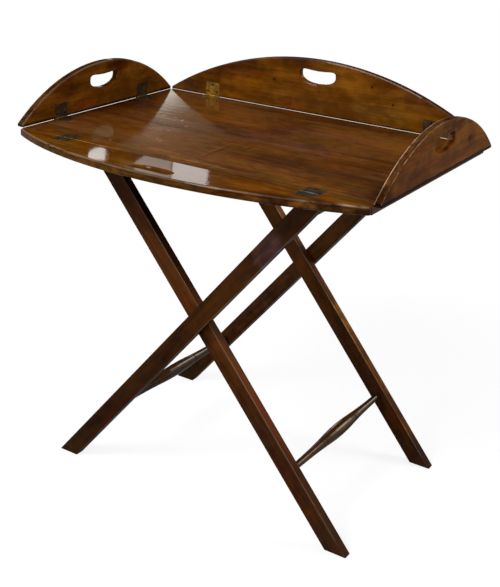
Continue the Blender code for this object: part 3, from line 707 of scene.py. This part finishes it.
def flap_material(settings, side, look):
    """Return a flap's polished wood: its arc's arrises rubbed, painted highlights and painted
    shade.
    """
    place = joint_place(side, JOINTS[side + "_flap_fold"]["pos_m"], True)
    colours = [scale_colour(colour, look.shade)
               for colour in (settings.flap_light, settings.flap_dark)]
    wood = start_wood(side + "_flap_polish", place, colours, settings.flap_roughness,
                      relief=0.12, gloss=look.gloss)
    tree = wood.tree
    vector = wood.vector
    parts = add_node(tree, "ShaderNodeSeparateXYZ", {"Vector": vector})
    depths = flap_depths(settings, side, tree, parts)
    smear = calculate(tree, "MULTIPLY", stretched_noise(tree, vector, (60, 60, 60), 3),
                      EDGE_SMEAR)
    rim = smooth_step(tree, calculate(tree, "ADD", depths[0], smear), *RIM_FADE)
    rim_mottle = smooth_step(tree, stretched_noise(tree, vector, (42, 110, 110), 4), 0.46, 0.60)
    tint = mix_colour(tree, rim_mottle, (*look.rim, 1), (*scale_colour(look.rim, RIM_MOTTLE), 1))
    colour = tint_where(tree, rim, wood.colour, tint)
    # Painted shade along the flap's bottom, in the corner by the board.
    low_edge = calculate(tree, "ADD", parts.outputs["Y"], smear)
    foot = smooth_step(tree, low_edge, *(look.foot_height + fade for fade in PAINTED_FOOT_SHADE_FADE))
    colour = tint_where(tree, foot, colour, (*look.foot, 1))
    # The arris colour is rubbed wear and a painted highlight.
    colour = add_rubbing_and_highlight(wood, depths, look.width, colour, scale_colour(settings.worn, look.worn))
    return finish_wood(wood, colour, look.marks)


def stand_place(lean):
    """Return a place at the pivots' middle, with X up along a leg and Y along the object's."""
    along = Vector((math.sin(lean), 0, math.cos(lean)))
    sideways = Vector((0, 1, 0))
    return Matrix.Translation(PIVOT) @ axes_matrix(along, sideways, along.cross(sideways))


def leg_material(settings, name, lean):
    """Return the varnished wood of a frame's legs, with rubbed arrises and painted light and
    shade.
    """
    colours = [scale_colour(colour, LEG_SHADES[name])
               for colour in (settings.leg_light, settings.leg_dark)]
    wood = start_wood(name + "_leg_varnish", stand_place(lean), colours,
                      settings.leg_roughness, relief=0.22, gloss=0.06)
    tree = wood.tree
    low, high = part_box(name + "_leg_back")
    half = (high[1] - low[1]) / 2
    parts = add_node(tree, "ShaderNodeSeparateXYZ", {"Vector": wood.vector})
    across = calculate(tree, "ABSOLUTE", parts.outputs["Y"])
    depths = (depth_behind(tree, across, half, high[1] - half - PIVOT.y),
              calculate(tree, "ADD", parts.outputs["Z"], settings.leg_width / 2))
    colour = add_rubbing_and_highlight(wood, depths, LEG_WEAR_AND_HIGHLIGHT_WIDTH, wood.colour,
                      scale_colour(settings.worn, LEG_WEAR_AND_HIGHLIGHT_SHADE))
    return finish_wood(wood, colour, LEG_PAINTED_LIGHT[name])


def turned_material(settings):
    """Return the varnished wood of the rails and the turned stretchers."""
    place = Matrix.Translation(PIVOT) @ Matrix.Rotation(math.pi / 2, 4, "Z")
    colours = [[part * tint for part, tint in zip(colour, TURNED_TINT)]
               for colour in (settings.leg_light, settings.leg_dark)]
    return start_wood("turned_varnish", place, colours, settings.turned_roughness,
                      relief=0.16, gloss=0.40).material


# Cleaner brass at one hinge and duller brass at five others: middle, half size and tint.
BRASS_MARKS = (
    ((-0.27, 0.299, 0.745), (0.050, 0.050, 0.060), (3.60, 2.40, 0.50)),
    ((-0.39, -0.08, 0.745), (0.050, 0.060, 0.060), (0.75, 0.50, 0.35)),
    ((-0.39, 0.19, 0.745), (0.050, 0.060, 0.060), (0.70, 0.50, 0.45)),
    ((0.27, 0.299, 0.745), (0.050, 0.050, 0.060), (0.58, 0.36, 0.34)),
    ((-0.27, -0.195, 0.745), (0.050, 0.050, 0.060), (0.90, 0.74, 0.78)),
    ((0.27, -0.195, 0.745), (0.050, 0.050, 0.060), (0.85, 0.82, 1.15)),
)


def brass_material(settings, name, tone):
    """Return brass with a dull green patina, rubbed brighter in places."""
    material, tree, shader, vector = start_material(name)
    patches = stretched_noise(tree, vector, (70, 70, 70), 4, 0.6)
    specks = stretched_noise(tree, vector, (420, 420, 420), 3)
    rubbed = smooth_step(tree, calculate(tree, "MULTIPLY_ADD", specks, 0.30, patches),
                         0.60, 0.88)
    colour = mix_colour(tree, rubbed, (*scale_colour(settings.brass_dull, tone), 1),
                        (*scale_colour(settings.brass_bright, tone), 1))
    feed(tree, shader.inputs["Base Color"], add_marks(tree, vector, colour, BRASS_MARKS))
    feed(tree, shader.inputs["Metallic"], calculate(tree, "MULTIPLY_ADD", rubbed, 0.35, 0.45))
    feed(tree, shader.inputs["Roughness"], calculate(tree, "MULTIPLY_ADD", specks, 0.25, 0.38))
    shader.inputs["Specular IOR Level"].default_value = 0.35
    add_bump(tree, shader, specks, 0.25, 0.0003)
    return material


def steel_material(settings):
    """Return darkened steel with fine scratches."""
    material, tree, shader, vector = start_material("steel_dark")
    specks = stretched_noise(tree, vector, (700, 700, 700), 3)
    tint = calculate(tree, "MULTIPLY_ADD", specks, 0.8, 0.6)
    colour = multiply_colours(tree, (*settings.steel, 1), combine_grey(tree, tint))
    feed(tree, shader.inputs["Base Color"], colour)
    feed(tree, shader.inputs["Roughness"], calculate(tree, "MULTIPLY_ADD", specks, 0.3, 0.25))
    shader.inputs["Metallic"].default_value = 1.0
    add_bump(tree, shader, specks, 0.15, 0.0002)
    return material


def build_weave(name):
    """Build a plain weave, from yarns counted across and along."""
    tree, source, result = start_group(
        name, {"Vector": "Vector"}, {"Warp": "Float", "Height": "Float"})
    parts = add_node(tree, "ShaderNodeSeparateXYZ", {"Vector": source.outputs["Vector"]})
    across, along = parts.outputs["X"], parts.outputs["Y"]
    warp = calculate(tree, "SINE", calculate(tree, "MULTIPLY", across, math.tau))
    weft = calculate(tree, "SINE", calculate(tree, "MULTIPLY", along, math.tau))
    checks = calculate(tree, "MULTIPLY", warp, weft)
    over = smooth_step(tree, checks, -0.25, 0.25)
    ridges = calculate(tree, "ADD", calculate(tree, "ABSOLUTE", warp),
                       calculate(tree, "ABSOLUTE", weft))
    feed(tree, result.inputs["Warp"], over)
    feed(tree, result.inputs["Height"], calculate(tree, "ADD", ridges, over))
    return tree


def webbing_material(settings, yarns):
    """Return woven webbing that follows each strap's own map.

    The yarns are how many there are across a strap and along it.
    """
    material, tree, shader, vector = start_material("webbing_weave")
    mapped = add_node(tree, "ShaderNodeUVMap", {}, uv_map="strap")
    counted = add_node(tree, "ShaderNodeMapping",
                       {"Vector": mapped.outputs["UV"], "Scale": (*yarns, 1)})
    weave = add_group(tree, "weave", build_weave, {"Vector": counted.outputs["Vector"]})
    fibres = stretched_noise(tree, vector, (900, 900, 900), 2)
    soil = stretched_noise(tree, vector, (18, 18, 18), 3)
    colour = mix_colour(tree, weave.outputs["Warp"], (*settings.dark, 1), (*settings.pale, 1))
    tint = calculate(tree, "ADD", calculate(tree, "MULTIPLY_ADD", fibres, 0.6, 0.25),
                     calculate(tree, "MULTIPLY", soil, 0.7))
    colour = multiply_colours(tree, colour, combine_grey(tree, tint))
    feed(tree, shader.inputs["Base Color"], colour)
    shader.inputs["Roughness"].default_value = 0.9
    add_bump(tree, shader, weave.outputs["Height"], 0.6, 0.0004)
    return material


def add_object(name, data):
    """Add an object to the scene."""
    item = bpy.data.objects.new(name, data)
    bpy.context.scene.collection.objects.link(item)
    return item


def add_mesh_object(bm, name, material):
    """Turn a bmesh into an object with one material."""
    mesh = bpy.data.meshes.new(name)
    bm.to_mesh(mesh)
    bm.free()
    mesh.materials.append(material)
    return add_object(name, mesh)


def finish_piece(bm, name, material, body):
    """Turn a bmesh into a smooth piece that rides on a body, where one is given."""
    piece = add_mesh_object(bm, name, material)
    piece.data.shade_smooth()
    piece.data.set_sharp_from_angle(angle=SHARP_ANGLE)
    if body:
        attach(piece, body)
    return piece


# From the knuckles' radius to where a leaf's plate starts.
LEAF_START_GAP = 0.0006

# How far the screws are sunk, how far each is turned on from the last, and the bevel of a
# head's rim as a share of its radius.
SCREW_SINK = 0.0001
SCREW_TURN = 2.4
SCREW_BEVEL = 0.06


def tray_hinges():
    """Return the eight hinges, read from the frame."""
    hinges = []
    for side in SIDES:
        along = Vector(JOINTS[side + "_flap_fold"]["axis"])
        ends = ("left", "right") if side in LONG_SIDES else ("front", "back")
        for end in ends:
            low, high = box_corners(f"{side}_hinge_pin_{end}")
            hinges.append(Hinge(side, end, (low + high) / 2, along))
    return hinges


def screw_spots(settings, hinge, direction):
    """Return the middles of a leaf's three screws, from the hinge."""
    low, high = box_corners(f"{hinge.side}_board_leaf_{hinge.end}")
    outward = UP.cross(hinge.along)
    reach = max(abs((corner - hinge.centre).dot(outward)) for corner in (low, high))
    knuckle = high.z - hinge.centre.z
    near = knuckle + LEAF_START_GAP + settings.screw_inset
    far = reach - settings.screw_inset
    side = abs((high - low).dot(hinge.along)) / 2 - settings.screw_inset
    return [(-side, direction * near, 0), (side, direction * near, 0), (0, direction * far, 0)]


def top_faces(bm):
    """Return the faces of a bmesh that look straight up."""
    return [face for face in bm.faces if face.normal.z > 0.99]


def screw_bmesh(settings):
    """Return a countersunk screw head with a slot, its rim at zero height."""
    bm = bmesh.new()
    lowered_half = Matrix.Translation((0, 0, -settings.screw_depth / 2))
    bmesh.ops.create_cone(bm, cap_ends=True, segments=settings.screw_sides,
                          radius1=settings.screw_neck, radius2=settings.screw_radius,
                          depth=settings.screw_depth, matrix=lowered_half)
    rim = [edge for edge in bm.edges
           if all(vert.co.z > -settings.slot_depth / 2 for vert in edge.verts)]
    bmesh.ops.bevel(bm, geom=rim, offset=settings.screw_radius * SCREW_BEVEL, segments=1,
                    profile=0.5, affect="EDGES", material=-1)
    half = settings.slot_width / 2
    for side in (-1, 1):
        top = top_faces(bm)
        parts = top + list({edge for face in top for edge in face.edges})
        parts += list({vert for face in top for vert in face.verts})
        bmesh.ops.bisect_plane(bm, geom=parts, dist=half / 100,
                               plane_co=(0, side * half, 0), plane_no=(0, 1, 0))
    slot = [face for face in top_faces(bm) if abs(face.calc_center_median().y) < half]
    grown = bmesh.ops.extrude_face_region(bm, geom=slot)
    lowered = [part for part in grown["geom"] if isinstance(part, bmesh.types.BMVert)]
    bmesh.ops.translate(bm, verts=lowered, vec=(0, 0, -settings.slot_depth))
    stale = [face for face in slot if face.is_valid]
    bmesh.ops.delete(bm, geom=stale, context="FACES")
    return bm


def copy_into(target, source, matrix):
    """Add a copy of a bmesh at a place to another bmesh."""
    mesh = bpy.data.meshes.new("copy")
    source.to_mesh(mesh)
    mesh.transform(matrix)
    target.from_mesh(mesh)
    bpy.data.meshes.remove(mesh)


class TRAY_OT_board(bpy.types.Operator):
    """Polish the tray board"""
    bl_idname = "tray.board"
    bl_label = "Polish Board"

    def execute(self, context):
        dress_node("tray_board", board_material(context.scene.tray_wood))
        return {"FINISHED"}


class TRAY_OT_flaps(bpy.types.Operator):
    """Polish the four flaps, with the grain along each"""
    bl_idname = "tray.flaps"
    bl_label = "Polish Flaps"

    def execute(self, context):
        settings = context.scene.tray_wood
        for side, look in FLAP_LOOKS.items():
            dress_node(side + "_flap", flap_material(settings, side, look))
        return {"FINISHED"}


class TRAY_OT_hinges(bpy.types.Operator):
    """Age the brass hinge leaves and darken their pins"""
    bl_idname = "tray.hinges"
    bl_label = "Age Hinges"

    def execute(self, context):
        settings = context.scene.tray_fittings
        brass = brass_material(settings, "brass_patina", 1.0)
        steel = steel_material(settings)
        for name in frame["nodes"]:
            if "_leaf_" in name:
                dress_node(name, brass)
            elif "_pin_" in name or "washer" in name:
                dress_node(name, steel)
        return {"FINISHED"}


class TRAY_OT_screws(bpy.types.Operator):
    """Set three slotted brass screws in each hinge leaf"""
    bl_idname = "tray.screws"
    bl_label = "Set Screws"

    def execute(self, context):
        settings = context.scene.tray_fittings
        brass = brass_material(settings, "screw_patina", settings.screw_tone)
        screw = screw_bmesh(settings)
        count = 0
        for hinge in tray_hinges():
            for kind, direction, body in (("board", -1, "tray"),
                                          ("flap", 1, hinge.side + "_flap")):
                place = joint_place(hinge.side, hinge.centre, kind == "flap")
                bm = bmesh.new()
                for spot in screw_spots(settings, hinge, direction):
                    turn = Matrix.Rotation(count * SCREW_TURN, 4, "Z")
                    sunk = Vector(spot) - UP * SCREW_SINK
                    copy_into(bm, screw, place @ Matrix.Translation(sunk) @ turn)
                    count += 1
                finish_piece(bm, f"{hinge.side}_{kind}_screws_{hinge.end}", brass, body)
        screw.free()
        return {"FINISHED"}


class TRAY_OT_stand(bpy.types.Operator):
    """Varnish the legs, rails and stretchers, with rubbed arrises and painted light and shade"""
    bl_idname = "tray.stand"
    bl_label = "Varnish Stand"

    def execute(self, context):
        settings = context.scene.tray_wood
        turned = turned_material(settings)
        for name, lean in (("outer", settings.lean), ("inner", -settings.lean)):
            wood = leg_material(settings, name, lean)
            dress_node(name + "_leg_front", wood)
            dress_node(name + "_leg_back", wood)
            dress_node(name + "_top_rail", turned)
            dress_node(name + "_stretcher", turned)
        return {"FINISHED"}


# The gap between a strap and its rail.
STRAP_GAP = 0.0004

# From a rail's inner side to the inner edge of its top, where a strap comes to lie on it.
RAIL_EDGE_INSET = 0.03

# Steps of a strap's sag and of its turn over the rail, shares of its lap, and columns.
SAG_STEPS = 14
TURN_STEPS = 8
LAP_SHARES = (0.3, 0.6, 0.8, 1.0)
STRAP_COLUMNS = 10

# Yarns across a strap, and yarns along it for each of these over the same length.
YARNS = 30
WEFT_SHARE = 0.7

# Where the tacks sit, from the strap's end, as a share of its lap.
TACK_SHARE = 0.45


def webbing_boxes():
    """Return the boxes of the straps' nodes by name, in order."""
    names = sorted(name for name in frame["nodes"] if name.startswith("webbing"))
    return {name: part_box(name) for name in names}


def frame_directions(lean):
    """Return the outer frame's outward and upward directions, in the plane X and Z."""
    outward = Vector((math.cos(lean), -math.sin(lean)))
    upward = Vector((math.sin(lean), math.cos(lean)))
    return outward, upward


def strap_points(settings, wood):
    """Return the inner face's path of half a strap, from its middle, about the pivots."""
    rail_low, rail_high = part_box("outer_top_rail")
    rail_top = rail_high[2] - PIVOT.z
    height = rail_top + STRAP_GAP
    radius = settings.turn_radius + STRAP_GAP
    outward, upward = frame_directions(wood.lean)
    across = wood.leg_width / 2 - settings.turn_radius
    along = (rail_top - settings.turn_radius - across * outward.y) / upward.y
    centre = upward * along + outward * across
    inner_edge = rail_low[0] - PIVOT.x + RAIL_EDGE_INSET
    points = []
    for step in range(SAG_STEPS):
        share = step / SAG_STEPS
        sag = settings.sag * math.cos(share * math.pi / 2) ** 2
        points.append(Vector((inner_edge * share, height - sag)))
    points.append(Vector((inner_edge, height)))
    points.append(Vector(((inner_edge + centre.x) / 2, height)))
    for step in range(TURN_STEPS + 1):
        angle = math.pi / 2 - (math.pi / 2 + wood.lean) * step / TURN_STEPS
        points.append(centre + radius * Vector((math.cos(angle), math.sin(angle))))
    last = points[-1]
    points += [last - upward * settings.lap * share for share in LAP_SHARES]
    return points


def strap_length(points):
    """Return the length of a path."""
    return sum((after - before).length for before, after in zip(points, points[1:]))


def strap_bmesh(settings, points, side, low_y, width):
    """Return half a strap as a woven band with thickness, mapped across and along it."""
    bm = bmesh.new()
    rows = len(points) - 1
    uv_layer = bm.loops.layers.uv.new("strap")
    bmesh.ops.create_grid(bm, x_segments=STRAP_COLUMNS, y_segments=rows, size=0.5,
                          calc_uvs=True)
    total = strap_length(points)
    reached = [0.0]
    for before, after in zip(points, points[1:]):
        reached.append(reached[-1] + (after - before).length / total)
    for face in bm.faces:
        for loop in face.loops:
            row = round((loop.vert.co.y + 0.5) * rows)
            loop[uv_layer].uv = (loop.vert.co.x + 0.5, reached[row])
    for vert in bm.verts:
        point = points[round((vert.co.y + 0.5) * rows)]
        vert.co = (PIVOT.x + side * point.x, low_y + width * (vert.co.x + 0.5),
                   PIVOT.z + point.y)
    bmesh.ops.recalc_face_normals(bm, faces=bm.faces)
    if sum(face.normal.z for face in bm.faces) < 0:
        bmesh.ops.reverse_faces(bm, faces=bm.faces)
    bmesh.ops.solidify(bm, geom=bm.faces, thickness=-settings.thickness)
    return bm


class TRAY_OT_straps(bpy.types.Operator):
    """Weave the three webbing straps between the top rails, each in two halves"""
    bl_idname = "tray.straps"
    bl_label = "Weave Straps"

    def execute(self, context):
        settings = context.scene.tray_straps
        points = strap_points(settings, context.scene.tray_wood)
        length = strap_length(points)
        boxes = webbing_boxes()
        widest = max(high[1] - low[1] for low, high in boxes.values())
        webbing = webbing_material(settings, (YARNS, YARNS * length / widest * WEFT_SHARE))
        for name, (low, high) in boxes.items():
            width = high[1] - low[1]
            for body, side in FRAMES:
                bm = strap_bmesh(settings, points, side, low[1], width)
                half = finish_piece(bm, f"{name}_{body}", webbing, None)
                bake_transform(half)
                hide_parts(name)
        return {"FINISHED"}


def add_tack(bm, settings, place):
    """Add a tack's domed head that stands up along Z at a place."""
    squash = Matrix.Diagonal((1, 1, settings.tack_height / settings.tack_radius, 1))
    made = bmesh.ops.create_uvsphere(bm, u_segments=16, v_segments=8,
                                     radius=settings.tack_radius, matrix=squash)
    low = [vert for vert in made["verts"] if vert.co.z < -settings.tack_height * 0.05]
    bmesh.ops.delete(bm, geom=low, context="VERTS")
    verts = [vert for vert in made["verts"] if vert.is_valid]
    rim = {edge for vert in verts for edge in vert.link_edges if edge.is_boundary}
    bmesh.ops.contextual_create(bm, geom=list(rim))
    bmesh.ops.transform(bm, matrix=place, verts=verts)


class TRAY_OT_tacks(bpy.types.Operator):
    """Drive a row of domed tacks through each strap end"""
    bl_idname = "tray.tacks"
    bl_label = "Drive Tacks"

    def execute(self, context):
        settings = context.scene.tray_straps
        wood = context.scene.tray_wood
        steel = bpy.data.materials["steel_dark"]
        outward, upward = frame_directions(wood.lean)
        end = strap_points(settings, wood)[-1]
        spot = end + upward * settings.lap * TACK_SHARE + outward * settings.thickness
        for body, side in FRAMES:
            bm = bmesh.new()
            for low, high in webbing_boxes().values():
                pitch = (high[1] - low[1]) / settings.tacks
                for step in range(settings.tacks):
                    y = low[1] + pitch * (step + 0.5)
                    place = Matrix.Translation((PIVOT.x + side * spot.x, y, PIVOT.z + spot.y))
                    turn = Matrix.Rotation(side * (math.pi / 2 + wood.lean), 4, "Y")
                    add_tack(bm, settings, place @ turn)
            finish_piece(bm, body.replace("frame", "strap_tacks"), steel, body)
        return {"FINISHED"}


# The floor's colour and roughness, its glow, and where it turns to plain white.
FLOOR_COLOUR = (0.28, 0.28, 0.28, 1)
FLOOR_ROUGHNESS = 0.9
FLOOR_GLOW = 0.80
FLOOR_FADE = (0.9, 2.2)

# How much of the white floor the polish mirrors.
FLOOR_IN_GLOSS = 0.05

# The dim surroundings that the polish mirrors.
DIM_ROOM = (0.016, 0.015, 0.013, 1)


def add_glow(tree, kind, colour, strength):
    """Return the light of an Emission or a Background node."""
    return add_node(tree, kind, {"Color": colour, "Strength": strength}).outputs[0]


def seen_ray(tree, rays):
    """Return 1 for what the camera sees, also through glass."""
    return calculate(tree, "MAXIMUM", rays.outputs["Is Camera Ray"],
                     rays.outputs["Is Transmission Ray"])


def floor_material():
    """Return a pale floor that keeps the shadow and is plain white far off."""
    material, tree, shader, vector = start_material("floor_white")
    shader.inputs["Base Color"].default_value = FLOOR_COLOUR
    shader.inputs["Roughness"].default_value = FLOOR_ROUGHNESS
    shader.inputs["Specular IOR Level"].default_value = 0.0
    glow = add_glow(tree, "ShaderNodeEmission", WHITE, FLOOR_GLOW)
    lit = add_node(tree, "ShaderNodeAddShader", {0: shader.outputs[0], 1: glow}).outputs[0]
    far = smooth_step(tree, vector_length(tree, vector), *FLOOR_FADE)
    ground = mix_shaders(tree, far, lit, add_glow(tree, "ShaderNodeEmission", WHITE, 1.0))
    rays = tree.nodes.new("ShaderNodeLightPath")
    gloss = calculate(tree, "MULTIPLY", rays.outputs["Is Glossy Ray"], FLOOR_IN_GLOSS)
    white = calculate(tree, "MAXIMUM", seen_ray(tree, rays), gloss)
    feed(tree, tree.nodes["Material Output"].inputs["Surface"],
         mix_shaders(tree, white, shader.outputs[0], ground))
    return material


# Bright sides of the studio, for the gloss: direction, cosines of its edges and colour.
BRIGHT_SIDES = (
    ((-0.604, 0.774, 0.191), (0.99415, 0.99985), (0.245, 0.185, 0.112)),
    ((-0.604, 0.774, 0.191), (0.99900, 0.99980), (1.64, 1.60, 1.48)),
    ((0.45, 0.82, 0.36), (0.90, 0.98), (0.72, 0.62, 0.48)),
    ((0.295, 0.779, 0.553), (0.986, 0.994), (4.30, 3.80, 3.00)),
)


def add_bright_side(tree, ray, direction, edges, colour):
    """Return light from about a direction, between the cosines of its two edges."""
    toward = add_node(tree, "ShaderNodeVectorMath", {0: ray, 1: direction},
                      operation="DOT_PRODUCT").outputs["Value"]
    return mix_colour(tree, smooth_step(tree, toward, *edges), BLACK, (*colour, 1))


def light_world(settings):
    """Light the scene evenly, with bright sides behind it for the gloss."""
    world = bpy.data.worlds.new("studio")
    bpy.context.scene.world = world
    world.use_nodes = True
    tree = world.node_tree
    tree.nodes.clear()
    rays = tree.nodes.new("ShaderNodeLightPath")
    ray = tree.nodes.new("ShaderNodeTexCoord").outputs["Generated"]
    light = DIM_ROOM
    for direction, edges, colour in BRIGHT_SIDES:
        side = add_bright_side(tree, ray, direction, edges, colour)
        light = mix_colour(tree, 1.0, light, side, "ADD")
    sheen = add_glow(tree, "ShaderNodeBackground", light, 1.0)
    white = add_glow(tree, "ShaderNodeBackground", WHITE, 1.0)
    even = add_glow(tree, "ShaderNodeBackground", WHITE, settings.ambient)
    unseen = mix_shaders(tree, rays.outputs["Is Glossy Ray"], even, sheen)
    output = tree.nodes.new("ShaderNodeOutputWorld")
    feed(tree, output.inputs["Surface"],
         mix_shaders(tree, seen_ray(tree, rays), unseen, white))


# The lamps: name, place, the point that each shines at, its width and height, and its power.
LAMPS = (
    ("key_lamp", (-1.0, -2.8, 3.4), (0, 0.05, 0.7), (1.6, 1.6), 98),
    ("low_lamp", (-0.6, -3.4, 0.9), (0, 0, 0.5), (1.6, 1.0), 22),
    ("right_lamp", (2.6, 1.6, 2.6), (0, 0.05, 0.7), (1.2, 1.2), 48),
    ("left_window", (-2.687, 2.836, 1.27), (0, 0.05, 0.7), (0.093, 0.35), 0.19),
    ("middle_window", (-2.40, 2.98, 1.27), (0, 0.05, 0.7), (0.20, 0.35), 0.12),
    ("right_window", (-2.20, 3.06, 1.27), (0, 0.05, 0.7), (0.20, 0.35), 0.33),
)


def add_lamp(name, place, target, size, power):
    """Add a flat lamp that shines at a target."""
    lamp = bpy.data.lights.new(name, "AREA")
    lamp.shape = "RECTANGLE"
    lamp.size, lamp.size_y = size
    lamp.energy = power
    item = add_object(name, lamp)
    item.location = place
    item.rotation_mode = "QUATERNION"
    item.rotation_quaternion = (Vector(target) - Vector(place)).to_track_quat("-Z", "Y")


def add_camera(settings):
    """Add the camera at the photograph's angle."""
    right = Vector((math.cos(settings.azimuth), math.sin(settings.azimuth), 0))
    ahead = Vector((-math.sin(settings.azimuth) * math.cos(settings.elevation),
                    math.cos(settings.azimuth) * math.cos(settings.elevation),
                    -math.sin(settings.elevation)))
    up = right.cross(ahead)
    turned_right = right * math.cos(settings.roll) + up * math.sin(settings.roll)
    turned_up = up * math.cos(settings.roll) - right * math.sin(settings.roll)
    camera = bpy.data.cameras.new("camera")
    camera.sensor_width = 36
    camera.lens = settings.lens
    item = add_object("camera", camera)
    place = Vector(settings.target) - ahead * settings.distance
    item.matrix_world = (Matrix.Translation(place)
                         @ axes_matrix(turned_right, turned_up, -ahead))
    bpy.context.scene.camera = item


class TRAY_OT_stage(bpy.types.Operator):
    """Set up the floor, the lamps and the camera"""
    bl_idname = "tray.stage"
    bl_label = "Set Stage"

    def execute(self, context):
        settings = context.scene.tray_stage
        bm = bmesh.new()
        bmesh.ops.create_grid(bm, x_segments=1, y_segments=1, size=settings.floor_size / 2)
        floor = add_mesh_object(bm, "floor", floor_material())
        light_world(settings)
        for lamp in LAMPS:
            add_lamp(*lamp)
        add_camera(settings)
        context.scene.view_settings.view_transform = "Standard"
        return {"FINISHED"}


OPERATORS = (
    TRAY_OT_board, TRAY_OT_flaps, TRAY_OT_hinges, TRAY_OT_screws, TRAY_OT_stand,
    TRAY_OT_straps, TRAY_OT_tacks, TRAY_OT_stage,
)
SETTINGS = {
    "tray_wood": TrayWoodSettings,
    "tray_fittings": TrayFittingSettings,
    "tray_straps": TrayStrapSettings,
    "tray_stage": TrayStageSettings,
}


class TRAY_PT_panel(bpy.types.Panel):
    """List the tray's pieces"""
    bl_idname = "TRAY_PT_panel"
    bl_label = "Butler's Tray"
    bl_space_type = "VIEW_3D"
    bl_region_type = "UI"
    bl_category = "Tray"

    def draw(self, context):
        for operator in OPERATORS:
            self.layout.operator(operator.bl_idname)
        for name in SETTINGS:
            box = self.layout.box()
            group = getattr(context.scene, name)
            for key in group.__annotations__:
                box.prop(group, key)


def register():
    """Register the settings, the operators and the panel."""
    for name, group in SETTINGS.items():
        bpy.utils.register_class(group)
        setattr(bpy.types.Scene, name, PointerProperty(type=group))
    for operator in OPERATORS:
        bpy.utils.register_class(operator)
    bpy.utils.register_class(TRAY_PT_panel)


def unregister():
    """Remove the panel, the operators and the settings."""
    bpy.utils.unregister_class(TRAY_PT_panel)
    for operator in reversed(OPERATORS):
        bpy.utils.unregister_class(operator)
    for name, group in reversed(list(SETTINGS.items())):
        delattr(bpy.types.Scene, name)
        bpy.utils.unregister_class(group)


def main():
    """Finish the tray and set the stage."""
    register()
    bpy.ops.tray.board()
    bpy.ops.tray.flaps()
    bpy.ops.tray.hinges()
    bpy.ops.tray.screws()
    bpy.ops.tray.stand()
    bpy.ops.tray.straps()
    bpy.ops.tray.tacks()
    bpy.ops.tray.stage()


if __name__ == "__main__":
    main()
